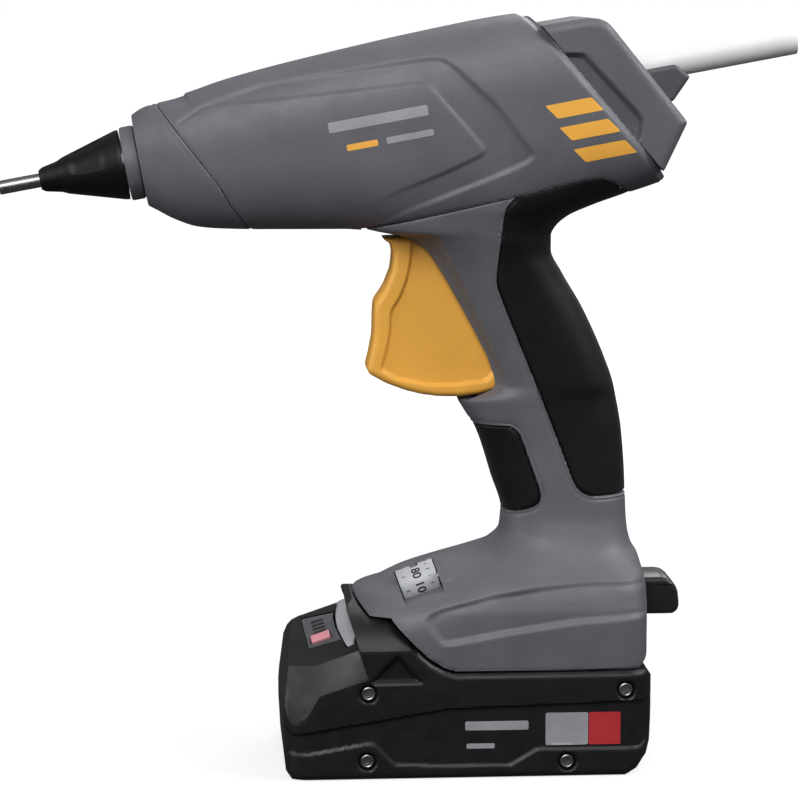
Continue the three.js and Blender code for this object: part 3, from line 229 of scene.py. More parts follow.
def inside(outline, x, z):
    """How far each point lies inside a closed outline, negative outside it."""
    loop = list(outline) + [outline[0]]
    within = np.zeros(np.shape(x), bool)
    for (x0, z0), (x1, z1) in zip(loop[:-1], loop[1:]):
        if z0 != z1:
            within ^= ((z0 > z) != (z1 > z)) & (x < x0 + (z - z0) * (x1 - x0) / (z1 - z0))
    distance = beside(loop, x, z)
    return np.where(within, distance, -distance)


def softened(outline, reach, steps=5):
    """An outline with each corner cut by a short curve that starts reach away from it."""
    corners = [np.array(point, float) for point in outline]
    curve = []
    for i, corner in enumerate(corners):
        before, after = corners[i - 1], corners[(i + 1) % len(corners)]
        start = corner + (before - corner) * min(0.45, reach / max(np.linalg.norm(before - corner), 1e-9))
        end = corner + (after - corner) * min(0.45, reach / max(np.linalg.norm(after - corner), 1e-9))
        for t in np.linspace(0, 1, steps):
            curve.append(tuple((1 - t) ** 2 * start + 2 * t * (1 - t) * corner + t * t * end))
    return curve


def evenly(points, count):
    """The given number of points, evenly spaced along a line of points."""
    run = np.concatenate([[0], np.cumsum(np.hypot(*np.diff(points, axis=0).T))])
    at = np.linspace(0, 1, count) * run[-1]
    return np.stack([np.interp(at, run, values) for values in points.T], axis=-1)


def turns(sides):
    """Angles evenly spaced round a circle."""
    return np.arange(sides) * 2 * math.pi / sides


def rings_at(rings, at):
    """The columns of a table of rings, read smoothly at places along its first column."""
    first, *columns = np.array(rings, float).T
    return (monotone(first, values, at) for values in columns)


def moved(outline, dx, dz):
    return [(x + dx, z + dz) for x, z in outline]


def rounding(distance, radius):
    """How far a surface falls away near an edge that is rounded to a radius."""
    short = np.clip(radius - distance, 0, radius)
    return radius - np.sqrt(radius * radius - short * short)


# ---------------- meshes


def added(name, data):
    """A new object in the scene."""
    thing = bpy.data.objects.new(name, data)
    bpy.context.scene.collection.objects.link(thing)
    return thing


def mesh_object(name, points, faces):
    """A new object from points in millimetres and faces."""
    mesh = bpy.data.meshes.new(name)
    mesh.from_pydata((np.asarray(points, float) * MM).tolist(), [], faces)
    mesh.update()
    return added(name, mesh)


@contextmanager
def editing(mesh):
    """A mesh opened for editing, and written back at the end."""
    work = bmesh.new()
    work.from_mesh(mesh)
    yield work
    work.to_mesh(mesh)
    work.free()


def outward(thing):
    """Turns a closed mesh's faces to point outward."""
    with editing(thing.data) as work:
        if work.calc_volume(signed=True) < 0:
            bmesh.ops.reverse_faces(work, faces=work.faces)
    return thing


def duplicate(thing, name):
    return added(name, thing.data.copy())


def bake(thing):
    """Applies a thing's modifiers."""
    graph = bpy.context.evaluated_depsgraph_get()
    made = bpy.data.meshes.new_from_object(thing.evaluated_get(graph))
    thing.modifiers.clear()
    old, thing.data = thing.data, made
    bpy.data.meshes.remove(old)
    return thing


def combine(thing, tools, how):
    """Joins, cuts or keeps what is common to closed meshes, and uses up the tools."""
    for tool in tools:
        step = thing.modifiers.new("combine", "BOOLEAN")
        step.operation = how
        step.solver = "MANIFOLD"
        step.object = tool
        bake(thing)
        bpy.data.objects.remove(tool)
    return thing


def cut(thing, *tools):
    return combine(thing, tools, "DIFFERENCE")


def common(thing, *tools):
    return combine(thing, tools, "INTERSECT")


def join(thing, *tools):
    return combine(thing, tools, "UNION")


def prism(outline, low=-FAR, high=FAR, name="tool", upright=False):
    """A side outline of [x, z] made solid along y, or a plan outline of [x, y] made solid along z."""
    count = len(outline)
    points = [(u, v, at) if upright else (u, at, v) for at in (low, high) for u, v in outline]
    sides = [(i, (i + 1) % count, (i + 1) % count + count, i + count) for i in range(count)]
    faces = [tuple(range(count)), tuple(range(2 * count - 1, count - 1, -1)), *sides]
    thing = mesh_object(name, points, faces)
    with editing(thing.data) as work:
        bmesh.ops.recalc_face_normals(work, faces=work.faces)
    return outward(thing)


def block(low, high, name="tool"):
    """A box tool between two corners."""
    (x0, y0, z0), (x1, y1, z1) = low, high
    return prism([(x0, z0), (x1, z0), (x1, z1), (x0, z1)], y0, y1, name)


def grid_solid(name, rows):
    """A closed mesh through rows of points, each row a loop, with a fan over each end."""
    count, width = rows.shape[:2]
    index = np.arange(count * width).reshape(count, width)
    right = np.roll(index, -1, axis=1)
    quads = np.stack([index[:-1], right[:-1], right[1:], index[1:]], axis=-1).reshape(-1, 4).tolist()
    first, last = count * width, count * width + 1
    quads += [(first, b, a) for a, b in zip(index[0].tolist(), right[0].tolist())]
    quads += [(last, a, b) for a, b in zip(index[-1].tolist(), right[-1].tolist())]
    points = np.concatenate([rows.reshape(-1, 3), [rows[0].mean(0)], [rows[-1].mean(0)]])
    return outward(mesh_object(name, points, quads))


def loop_points(low, high, half, low_power, high_power, columns):
    """Loops of (across, y), one for each ring: up the left side and down the right, evenly spaced."""
    angle = np.linspace(-math.pi / 2, math.pi / 2, 361)
    rise, side = np.sin(angle), np.abs(np.cos(angle))
    side[[0, -1]] = 0
    power = np.where(rise > 0, high_power[:, None], low_power[:, None])
    reach = np.sign(rise) * np.abs(rise) ** (2 / power)
    across = (low + high)[:, None] / 2 + reach * (high - low)[:, None] / 2
    out = -half[:, None] * side ** (2 / power)
    left = np.array([evenly(np.stack(pair, axis=-1), columns + 1) for pair in zip(across, out)])
    right = left[:, -2:0:-1] * (1, -1)
    return np.concatenate([left, right], axis=1)


def spun(name, profile, sides=96):
    """A solid turned about the x axis through [x, radius] points, closed at both ends."""
    rows = [[(x, radius * math.cos(a), radius * math.sin(a)) for a in turns(sides)] for x, radius in profile]
    return grid_solid(name, np.array(rows))


def rod(x0, x1, radius):
    """A round tool along the x axis."""
    return spun("tool", [(x0, radius), (x1, radius)])


def normals(rows):
    across = np.roll(rows, -1, axis=1) - np.roll(rows, 1, axis=1)
    along = np.gradient(rows, axis=0)
    normal = np.cross(across, along)
    normal /= np.maximum(np.linalg.norm(normal, axis=2, keepdims=True), 1e-9)
    outer = rows - rows.mean(axis=1, keepdims=True)
    return normal * np.sign((normal * outer).sum(axis=2).mean())


def with_relief(rows, relief=None, inward=None):
    """Pushes each point along its normal by relief, and toward the middle plane by inward.

    Both are functions of x, z and the share of the normal that faces sideways.
    """
    normal = normals(rows)
    place = rows[..., 0], rows[..., 2], np.abs(normal[..., 1])
    pushed = rows + normal * relief(*place)[..., None] if relief else rows.copy()
    if inward:
        pushed[..., 1] -= np.sign(rows[..., 1]) * inward(*place)
    return pushed


def barrel_rows(inset, pitch, first=-99, last=103):
    """Loops round the barrel's form, one for each x."""
    at = np.arange(first, last, pitch)
    low, high, half, power = rings_at(BARREL_RINGS, at)
    loops = loop_points(low + inset, high - inset, half - inset, power, power, int(95 / pitch))
    x = np.broadcast_to(at[:, None], loops.shape[:2])
    return np.stack([x, loops[..., 1], loops[..., 0]], axis=-1)


def handle_rows(inset, pitch, first=36, last=214):
    """Loops round the handle's and foot's form, one for each height."""
    at = np.arange(first, last, pitch)
    front, back, half, front_power, back_power = rings_at(HANDLE_RINGS, at)
    loops = loop_points(front + inset, back - inset, half - inset, front_power, back_power, int(90 / pitch))
    z = np.broadcast_to(at[:, None], loops.shape[:2])
    return np.stack([loops[..., 0], loops[..., 1], z], axis=-1)


def half_space(side):
    """Everything on the left (-1) or right (+1) of the parting plane."""
    near, far = side * GAP / 2, side * FAR
    return block((-FAR, min(near, far), -FAR), (FAR, max(near, far), 2 * FAR))


def smooth(thing, angle=32):
    thing.data.shade_smooth()
    thing.data.set_sharp_from_angle(angle=math.radians(angle))
    return thing


# ---------------- the barrel

PANEL_DEPTH = 1.0
EDGE = 0.7  # radius of the housing's edges at its joints
MARK = 0.08  # thickness of a printed mark
SCREW_RECESS = 3.3
SCREW_SEAT = 3
PACK_SCREW_SEAT = 2.8
HOUSING_SCREW = (2.9, 1.4, 11)  # radius of the head and of the shank, and the shank's length
PACK_SCREW = (2.45, 1.3, 4.6)


def barrel_relief(x, z, side):
    outer = smoothstep(-0.9, 0.7, inside(softened(PANEL_OUTER, 4), x, z))
    inner = smoothstep(-0.7, 0.9, inside(softened(PANEL_INNER, 3), x, z))
    fade = np.maximum(smoothstep(-16, 18, x), smoothstep(212, 228, z))
    band = (outer - inner) * fade * smoothstep(0.15, 0.4, side)
    chamfer = 0.7 * np.clip(2.6 - beside(REAR_EDGE, x, z), 0, 2.6)
    joint = rounding(beside(CAP_JOINT, x, z), EDGE) + rounding(beside(COVER_EDGE, x, z), EDGE)
    line = 0.25 * np.exp(-(beside(moved(CAP_JOINT, -2.4, 0), x, z) / 0.25) ** 2) * smoothstep(214, 222, z)
    collar = 0.7 * smoothstep(235, 240, z) * smoothstep(0.4, -0.4, x + 76 - 0.9 * (240 - z))
    return -PANEL_DEPTH * band - chamfer - joint - line - collar


def barrel_form(name, *extent):
    return grid_solid(name, with_relief(barrel_rows(0, FINE, *extent), barrel_relief))


def cylinder_y(radius, y0, y1, x, z, sides=96):
    turn = turns(sides)
    circle = np.stack([x + radius * np.cos(turn), z + radius * np.sin(turn)], axis=-1)
    return prism(circle.tolist(), y0, y1)


def screw_boss(x, z, face):
    return cylinder_y(4.2, face - 17, face - 0.6, x, z)


def screw_hole(x, z, face):
    recess = cylinder_y(SCREW_RECESS, face - SCREW_SEAT, FAR, x, z)
    return join(recess, cylinder_y(1.7, face - 15, FAR, x, z))


def barrel_covers():
    region = [*COVER_EDGE, *REAR_EDGE, *CAP_JOINT, (-14.5, 188)]
    room = grid_solid("tool", barrel_rows(WALL, COARSE))
    cut(room, *[screw_boss(*place) for place in COVER_SCREWS])
    left = cut(common(barrel_form("barrel_cover_left_skin"), prism(region)), room)
    right = duplicate(left, "barrel_cover_right_skin")
    cut(right, *[screw_hole(*place) for place in COVER_SCREWS])
    return [common(left, half_space(-1)), common(right, half_space(1))]


def on_barrel(thing):
    """Turns a thing made about the x axis onto the barrel's axis."""
    turn = Matrix.Translation((0, 0, BARREL_HEIGHT * MM)) @ Matrix.Rotation(-TILT, 4, "Y")
    thing.data.transform(turn)
    return thing


def lathe(name, profile, sides=96):
    """A ring turned about the x axis from a closed loop of [x, radius] points, none of them on the axis."""
    angle = turns(sides)
    loop = np.array(profile, float)
    count = len(loop)
    points = np.stack([np.broadcast_to(loop[:, 0], (sides, count)), np.cos(angle)[:, None] * loop[:, 1],
                       np.sin(angle)[:, None] * loop[:, 1]], axis=-1)
    index = np.arange(sides * count).reshape(sides, count)
    beyond, turned = np.roll(index, -1, axis=1), np.roll(index, -1, axis=0)
    faces = np.stack([index, beyond, np.roll(beyond, -1, axis=0), turned], axis=-1).reshape(-1, 4).tolist()
    return outward(mesh_object(name, points.reshape(-1, 3), faces))


def front_cap():
    cap = barrel_form("front_cap_skin", -99, -40)
    common(cap, prism([(-130, 270), (-130, 150), *moved(CAP_JOINT, -GAP, 0)[::-1]]))
    face, solid = (on_barrel(block((-FAR, -FAR, -FAR), (x, FAR, FAR))) for x in (CAP_FRONT, CAP_FRONT + WALL))
    room = cut(grid_solid("tool", barrel_rows(WALL, COARSE)), solid)
    return cut(cap, face, room, on_barrel(rod(-120, -80, CHAMBER_BORE)))


# ---------------- nozzle and glue stick, about the x axis


def nozzle_tip():
    profile = [(-144.3, 1.1), (-144.3, 2.2), (-144.0, 2.5), (-122, 2.5), (-119, 5.4), (-104, 8.2), (-96, 8.2),
               (-96, 6), (-84, 6), (-84, 2.6), (-113, 2.6), (-112, 1.1)]
    return on_barrel(lathe("nozzle_tip_skin", profile, 128))


def nozzle_sleeve():
    """The soft cone over the tip, with a flat let into each side."""
    outer = [(-129.6, 3.1), (-129.3, 3.9), (-128.4, 4.3), (-122.4, 5.6), (-121, 6.4), (-118, 7.3),
             (-101.4, 12.2), (-100.2, 12.5), (-99.3, 12.4)]
    x = np.arange(-129.6, -99.2, 0.4)
    radius = np.interp(x, *np.array(outer).T)
    rounded = np.convolve(np.pad(radius, 2, mode="edge"), np.full(5, 0.2), mode="valid")
    turn = turns(160)
    flat = smoothstep(-119, -116, x)[:, None] * smoothstep(-105, -108, x)[:, None]
    flat = flat * smoothstep(0.74, 0.86, np.abs(np.cos(turn - 2.4)))[None]
    reach = rounded[:, None] - 0.7 * flat
    along = np.broadcast_to(x[:, None], reach.shape)
    rows = np.stack([along, reach * np.cos(turn), reach * np.sin(turn)], axis=-1)
    room = [(-140, 2.8), (-122.2, 2.8), (-119.2, 5.7), (-104.2, 8.5), (-90, 8.5)]
    return on_barrel(cut(grid_solid("nozzle_sleeve_skin", rows), spun("tool", room)))


def nozzle_ring():
    profile = [(-99, 8.6), (-99, 12.5), (-98.8, 12.9), (-98.4, 13.1), (-94.6, 13.1), (-94.2, 12.9),
               (-94, 12.5), (-94, 8.6)]
    return on_barrel(lathe("nozzle_ring_skin", profile, 128))


def glue_stick():
    ends = [(0, 5.0), (0.15, 5.3), (0.5, 5.5)]
    front = [(-56, 4), (-54, STICK_RADIUS)]
    middle = [(x, STICK_RADIUS) for x in range(-50, 140, 5)]
    rear = [(143.7 - x, radius) for x, radius in ends[::-1]]
    return on_barrel(spun("glue_stick_skin", [*front, *middle, *rear]))


# ---------------- handle, foot and grips


def handle_relief(x, z, _):
    pads = [inside(softened(outline, 2), x, z) for outline in (REAR_PAD, FRONT_PAD)]
    recess = sum(smoothstep(-0.25, 0.25, depth) for depth in pads) * 2.3
    groove = sum(np.exp(-((depth + 1.2) / 0.35) ** 2) for depth in pads) * 0.3
    edges = rounding(beside(COVER_EDGE, x, z), EDGE) + rounding(beside(FOOT_EDGE, x, z), EDGE)
    return -recess - groove - edges


def handle_hollows(x, z, side):
    """The trigger's bed, the recessed band round the foot and the surround of the dial's window."""
    facing = smoothstep(0.1, 0.35, side)
    bed = smoothstep(-0.3, 1.6, inside(softened(TRIGGER_POCKET, 3), x, z)) * 2.4
    band = smoothstep(-1.4, 1.0, inside(softened(FOOT_BAND, 3), x, z)) * 1.5
    rise = np.clip(z - 60.1 - 0.283 * (x + 1.5), 0, 4)
    facet = 0.35 * rise * smoothstep(-0.4, 0.6, inside(DIAL_FACET, x, z))
    rims = sum(rounding(beside(end, x, z), 1.3) for end in DIAL_ENDS)
    return (bed + band) * facing + facet + rims


def handle_region():
    upper = moved(COVER_EDGE, 0, -GAP)[::-1]
    return [*FOOT_EDGE, (FAR, 60), (FAR, 212), *upper, (-30, 193)]


def handle_room():
    foot = grid_solid("tool", handle_rows(WALL + 0.4, MEDIUM))
    foot.data.transform(Matrix.Translation((0, 0, -FOOT_SINK * MM)))
    common(foot, block((-FAR, -FAR, FOOT_FLOOR), (FAR, FAR, GRIP_FOOT)))
    grip = grid_solid("tool", handle_rows(GRIP_WALL, COARSE, GRIP_FOOT - 1, 216))
    return cut(join(foot, grip), block(*DIAL_WALL), screw_boss(*HANDLE_SCREW))


def on_dial(thing):
    """Turns a thing made about the x axis onto the temperature dial's axis."""
    turn = Matrix.Translation(Vector(DIAL) * MM) @ Matrix.Rotation(-DIAL_SLOPE, 4, "Y")
    thing.data.transform(turn)
    return thing


def dial_pocket():
    end = DIAL_HALF + 0.4
    drum = rod(-end, end, DIAL_RADIUS + 0.5)
    window = block((-end, -40, -2.4), (end, 0, 14))
    return on_dial(join(drum, window, rod(9.9, 14.5, 3.5), rod(0, 10.2, 1.8)))


def rear_tongue():
    """A tongue behind the joint below the barrel's rear, so that no light shows through it."""
    strip = [(62, 207.4), (70, 209), (79.5, 204), (88, 200), (88, 206), (80, 209), (70, 214), (62, 213)]
    return common(prism(strip), grid_solid("tool", barrel_rows(WALL + GAP, MEDIUM)))


def handle_halves():
    form = grid_solid("handle_left_skin", with_relief(handle_rows(0, FINE), handle_relief, handle_hollows))
    common(form, prism(handle_region()))
    sweep = cylinder_y(TRIGGER_SWEEP, -TRIGGER_HALF - 0.8, TRIGGER_HALF + 0.8, *PIVOT)
    common(sweep, prism([(-40, 120), (60, 120), (50, 190), (-40, 190)]))
    channel = block((-40, -RAIL_HALF - 0.5, 20), (78.6, RAIL_HALF + 0.5, RAIL_TOP + 0.6))
    cut(form, handle_room(), sweep, channel, block(*BUTTON_HOLE))
    join(form, rear_tongue())
    right = duplicate(form, "handle_right_skin")
    cut(common(form, half_space(-1)), dial_pocket())
    cut(common(right, half_space(1)), screw_hole(*HANDLE_SCREW))
    return [form, right]


def grips(name, outline):
    """The left and right rubber pads that lie in one recess of the handle."""
    shape = softened(outline, 2)

    def relief(x, z, _):
        return (-0.1 - rounding(np.maximum(inside(shape, x, z) - 0.3, 0), 0.9)
                - rounding(beside(COVER_EDGE, x, z), EDGE))

    pads = []
    for side, word in ((-1, "left"), (1, "right")):
        pad = grid_solid(f"{name}_{word}_skin", with_relief(handle_rows(0, 0.8, 88, 214), relief))
        common(pad, prism(handle_region()), prism(shape), half_space(side))
        pads.append(cut(pad, grid_solid("tool", handle_rows(2.0, COARSE, 80, 218))))
    return pads


# ---------------- plates with relief


def slab(name, box, pitch, outline, height):
    """A plate within an outline in a box (x0, x1, z0, z1). Its faces stand at height(x, z) on both sides."""
    x0, x1, z0, z1 = box
    xs = np.linspace(x0, x1, int((x1 - x0) / pitch) + 1)
    zs = np.linspace(z0, z1, int((z1 - z0) / pitch) + 1)
    x, z = np.meshgrid(xs, zs)
    y = height(x, z)
    count, width = x.shape
    index = np.arange(count * width).reshape(count, width)
    cells = np.stack([index[:-1, :-1], index[:-1, 1:], index[1:, 1:], index[1:, :-1]], axis=-1).reshape(-1, 4)
    border = np.concatenate([index[0, :-1], index[:-1, -1], index[-1, :0:-1], index[:0:-1, 0]])
    following = np.roll(border, -1)
    other = count * width
    rim = np.stack([border, border + other, following + other, following], axis=-1)
    points = np.concatenate([np.stack([x, -y, z], -1).reshape(-1, 3), np.stack([x, y, z], -1).reshape(-1, 3)])
    faces = cells.tolist() + (cells[:, ::-1] + other).tolist() + rim.tolist()
    return common(outward(mesh_object(name, points, faces)), prism(outline))


def rounded_height(outline, half, radius):
    """The half thickness of a plate whose edge along an outline is rounded."""
    return lambda x, z: half - rounding(np.maximum(inside(outline, x, z), 0), radius)


def trigger():
    outline = softened(TRIGGER_OUTLINE, 1.2)
    side = softened(TRIGGER_SIDE, 2)
    rounded = rounded_height(outline, TRIGGER_HALF, 2.2)

    def height(x, z):
        return rounded(x, z) - 1.5 * smoothstep(-0.2, 1.1, inside(side, x, z))

    plate = slab("trigger_skin", (-14, 37, 130, 192), 0.45, outline, height)
    return cut(plate, block((8, -3.4, 181), (40, 3.4, 200)), cylinder_y(2.06, -FAR, FAR, *PIVOT))


def power_button():
    outline = softened(BUTTON_OUTLINE, 1)
    plate = slab("power_button_skin", (85.6, 101, 52, 67), 0.3, outline, rounded_height(outline, 10.9, 1.8))
    groove = block((92, -12, 63.4), (102, 12, 63.7))
    return join(cut(plate, groove), block((81.8, -8, 53.6), (86.6, 8, 65.2)))


# ---------------- the rear housing and its trough


def rear_height(x, z):
    edge = rounding(np.maximum(inside(REAR_OUTLINE, x, z), 0) + 0.25, 3.6)
    recess = 2.3 * smoothstep(-0.3, 1.8, inside(softened(REAR_RECESS, 3), x, z))
    return REAR_HALF - np.maximum(edge, recess)


def rear_port():
    """The opening round the trough and the stick."""
    hole = join(on_barrel(rod(50, FAR, 10.6)), on_barrel(block((50, -10.6, -14), (FAR, 10.6, 0))))
    return common(hole, prism([(60, 232.6), (91, 236.5), (120, 240), (120, 300), (60, 290)], -10.7, 10.7))


def rear_housings():
    form = slab("rear_housing_left_skin", (40, 101, 211, 268), 0.45, softened(REAR_OUTLINE, 1.2), rear_height)
    inner = REAR_HALF - WALL - 1.4
    room = join(prism(REAR_ROOM, -inner, inner), prism(REAR_OPENING, -inner, inner))
    cover_side = [*moved(REAR_EDGE, GAP, 0), (-50, 290), (-50, 150), (93 + GAP, 150)]
    covered = cut(prism(cover_side), grid_solid("tool", barrel_rows(WALL + GAP, MEDIUM)))
    cut(room, screw_boss(*REAR_SCREW))
    cut(form, room, rear_port(), covered)
    right = duplicate(form, "rear_housing_right_skin")
    cut(right, screw_hole(*REAR_SCREW))
    return [common(form, half_space(-1)), common(right, half_space(1))]


def feed_funnel():
    outline = softened(FUNNEL_OUTLINE, 1)
    plate = slab("feed_funnel_skin", (67, 104, 232, 252), 0.4, outline, rounded_height(outline, 10.2, 1.4))
    bore = STICK_RADIUS + 0.8
    return cut(plate, on_barrel(rod(-FAR, FAR, bore)), on_barrel(block((-FAR, -bore, 0), (FAR, bore, FAR))))


# ---------------- the temperature dial


def dial_drum():
    half = DIAL_HALF
    edge = [(0, 6.4), (0.15, 6.8), (0.5, DIAL_RADIUS)]
    profile = [*[(x - half, radius) for x, radius in edge], *[(half - x, radius) for x, radius in edge[::-1]]]
    return on_dial(cut(spun("temperature_dial_skin", profile, 128), rod(2, half + 1, 1.6)))


def wrapped(thing, lift):
    """Wraps a flat thing in the x-y plane, in millimetres, round the dial: x runs down it and y along it."""
    for vertex in thing.data.vertices:
        around, along, depth = vertex.co
        angle = -around / DIAL_RADIUS
        reach = DIAL_RADIUS + lift + depth
        vertex.co = Vector((along, -reach * math.cos(angle), reach * math.sin(angle))) * MM
    return thing


def dial_text(body, around, along, size):
    """A number on the dial, made at its place on the flat strip that wraps round it."""
    letters = bpy.data.curves.new("letters", "FONT")
    letters.body = body
    letters.size = size
    letters.offset = size * 0.02
    letters.extrude = MARK / 2
    letters.align_x = "CENTER"
    flat = added("letters", letters)
    graph = bpy.context.evaluated_depsgraph_get()
    mesh = bpy.data.meshes.new_from_object(flat.evaluated_get(graph))
    bpy.data.objects.remove(flat)
    mesh.transform(Matrix.Translation((around, along, 0)))
    with editing(mesh) as work:
        bmesh.ops.remove_doubles(work, verts=work.verts, dist=0.001)
        long = [edge for edge in work.edges if edge.calc_length() > 0.5]
        bmesh.ops.subdivide_edges(work, edges=long, cuts=2)
    return mesh


def dial_marks():
    """Plain numbers and ticks round the dial."""
    pitch = 2 * math.pi * DIAL_RADIUS / DIAL_NUMBERS
    marks = added("dial_marks_skin", bpy.data.meshes.new("dial_marks_skin"))
    with editing(marks.data) as work:
        for number in range(DIAL_NUMBERS):
            around = number * pitch
            for mesh in (dial_text(f"{number + 1}0", around, -1.4, 4.4), dial_text("I", around, 3.8, 2),
                         dial_text("I", around + pitch / 2, 3.8, 1.4), dial_text("I", around, -5.4, 2)):
                work.from_mesh(mesh)
                bpy.data.meshes.remove(mesh)
    return on_dial(wrapped(marks, MARK / 2 + 0.01))


# ---------------- the battery


def plan_rows(inset, pitch, first, last):
    """Loops round the battery's plan, a rectangle with round corners that narrows to an arch higher up."""
    heights = np.arange(first, last, pitch)
    quarter = np.linspace(0, math.pi / 2, 12)
    rows = []
    for z in heights:
        rise = np.clip((z - 35.6) / 25.6, 0, 1) if z > ARCH_FOOT else 0
        half = PACK_HALF * (1 - rise ** 2.6) ** (1 / 2.6) - inset
        corner = min(PACK_CORNER - inset, half)
        x0, x1 = PACK_FRONT + inset, PACK_REAR - inset
        ring = [(x0, 0)]
        for x, y, turn in ((x0 + corner, corner - half, math.pi), (x1 - corner, corner - half, 1.5 * math.pi),
                           (x1 - corner, half - corner, 0), (x0 + corner, half - corner, 0.5 * math.pi)):
            ring += [(x + corner * math.cos(turn + a), y + corner * math.sin(turn + a)) for a in quarter]
        ring.append((x0, 0))
        rows.append([(x, y, z) for x, y in evenly(np.array(ring), int(400 / pitch) + 1)[:-1]])
    return np.array(rows)


def pack_hollows(x, z, side):
    facing = smoothstep(0.3, 0.8, side)
    edge = rounding(np.maximum(inside(PACK_OUTLINE, x, z), 0), 2.2)
    panel = inside(softened([*PACK_JOINT, *PACK_RIDGE], 1.2), x, z)
    dimple = inside(softened(PACK_DIMPLE, 0.8), x, z)
    seats = sum(rounding(np.maximum(np.hypot(x - at, z - height) - SCREW_RECESS, 0), 0.7)
                for at, height in PACK_SCREWS)
    joint = rounding(beside(PACK_JOINT, x, z), 0.5)
    sunk = 0.8 * smoothstep(-0.5, 0.7, panel) + 1.8 * smoothstep(-0.4, 1.6, dimple)
    return facing * (edge + sunk + seats + joint)


def on_roof(thing, side):
    """Moves a thing made at the origin onto a slope of the battery's roof, left (-1) or right (+1)."""
    turn = Matrix.Rotation(-ROOF_RISE, 4, "Y") @ Matrix.Rotation(-side * ROOF_FALL, 4, "X")
    thing.data.transform(Matrix.Translation(Vector(ROOF) * MM) @ turn)
    return thing


def outside_front(inset):
    """All that the battery's sloping front leaves outside: above its roof, and beyond the facets below it."""
    tools = []
    for side in (-1, 1):
        tools.append(on_roof(block((-FAR, -FAR, -inset), (ROOF_LENGTH, FAR, FAR)), side))
        corner = Vector((FACET_CORNER[0], side * PACK_HALF, FACET_CORNER[1])) * MM
        for rise, lean, length in FACETS:
            beyond = block((-FAR, -FAR, -inset), (length, FAR, FAR))
            turn = (Matrix.Rotation(math.radians(-rise), 4, "Y")
                    @ Matrix.Rotation(math.radians(-side * lean), 4, "X"))
            beyond.data.transform(Matrix.Translation(corner) @ turn)
            tools.append(beyond)
    return tools


def pack_boss(x, z):
    return cylinder_y(4.1, 1 - PACK_HALF, 8 - PACK_HALF, x, z)


def pack_screw_hole(x, z):
    recess = cylinder_y(SCREW_RECESS, -FAR, PACK_SCREW_SEAT - PACK_HALF, x, z)
    return join(recess, cylinder_y(1.6, -FAR, 7.6 - PACK_HALF, x, z))


def arch(name, size, x0, x1, edge=0.0, grow=0.0):
    """A tunnel-shaped solid across the battery, with the edges of its ends rounded."""
    half, top = (measure + grow for measure in size)
    at = np.linspace(x0, x1, 25)
    inset = rounding(np.minimum(at - x0, x1 - at), edge)
    same = np.ones(len(at))
    loops = loop_points(10 * same, top - inset, half - inset, 9 * same, BAR_POWER * same, 160)
    x = np.broadcast_to(at[:, None], loops.shape[:2])
    return grid_solid(name, np.stack([x, loops[..., 1], loops[..., 0]], axis=-1))


def across(outline):
    """A tool as wide as the battery."""
    return prism(outline, -PACK_HALF, PACK_HALF)


def bar_side(room, rear):
    """The release bar's side view, grown by a room, as far as a rear face."""
    front = BAR_FRONT - room
    low, high = RAIL_TOP - room, 57.6 + room
    return [(front + 4.4, low), (rear, low), (rear, high), (front + 2.6, high),
            (front + 0.8, 55.2), (front, 52.6), (front + 0.5, 50.4), (front + 2.4, 47.6)]


def release_pocket():
    front, rear = BAR_FRONT - BAR_ROOM, BAR_REAR + BAR_TRAVEL
    room = common(arch("tool", BAR_ARCH, front, rear, grow=BAR_ROOM), across(bar_side(BAR_ROOM, rear)))
    cut(room, arch("tool", BAR_CORE, front - 1, rear + 1, grow=-GAP))
    spring = rod(rear - 1, LATCH_REAR, 2.55)
    spring.data.transform(Matrix.Translation((0, 0, LATCH_HEIGHT * MM)))
    return join(room, spring)


def grown(outline, reach):
    """A convex outline with each corner moved out from the middle by about reach."""
    middle = np.mean(outline, axis=0)
    return [tuple(np.array(point) + reach * 1.4 * (point - middle) / np.linalg.norm(point - middle))
            for point in np.array(outline, float)]


def roof_plate(name, outline, low, high, edge=0.0):
    """A plan outline on the roof's left slope, made solid from one height over the slope to another."""
    plate = prism(outline, low, high, name, upright=True)
    if edge:
        round_edges(plate, edge)
    return on_roof(plate, -1)


def round_edges(thing, width):
    bevel = thing.modifiers.new("edges", "BEVEL")
    bevel.width = width * MM
    bevel.segments = 3
    bevel.limit_method = "ANGLE"
    return bake(thing)


def battery_shells():
    rows = with_relief(plan_rows(0, FINE, -0.6, 61.1), inward=pack_hollows)
    form = grid_solid("battery_upper_shell_skin", rows)
    common(form, prism(PACK_OUTLINE))
    cut(form, *outside_front(0))
    room = common(grid_solid("tool", plan_rows(PACK_WALL + 0.8, COARSE, -2, ARCH_FOOT)), prism(PACK_ROOM))
    cut(room, *outside_front(ROOF_WALL), *[pack_boss(*place) for place in PACK_SCREWS])
    cut(form, room, *[pack_screw_hole(*place) for place in PACK_SCREWS])
    lower = duplicate(form, "battery_lower_shell_skin")
    cut(lower, prism([*moved(PACK_JOINT, 0, -GAP / 2), (100, 90), (-60, 90)]))
    common(form, prism([*moved(PACK_JOINT, 0, GAP / 2), (100, 90), (-60, 90)]))
    rail = block((-2, -RAIL_HALF, 36), (72, RAIL_HALF, RAIL_TOP))
    join(form, round_edges(rail, 0.6))
    slots = [block((60, y - 1.1, 38.6), (80, y + 1.1, 60)) for y in BLADE_OFFSETS]
    panels = [roof_plate("tool", grown(outline, GAP), floor, FAR)
              for outline, floor in ((GAUGE, -1.9), (CHARGE, -6))]
    cut(form, block((24, 3 - RAIL_HALF, 30), (60, RAIL_HALF - 3, 42.8)), release_pocket(), *panels, *slots)
    return [form, lower]


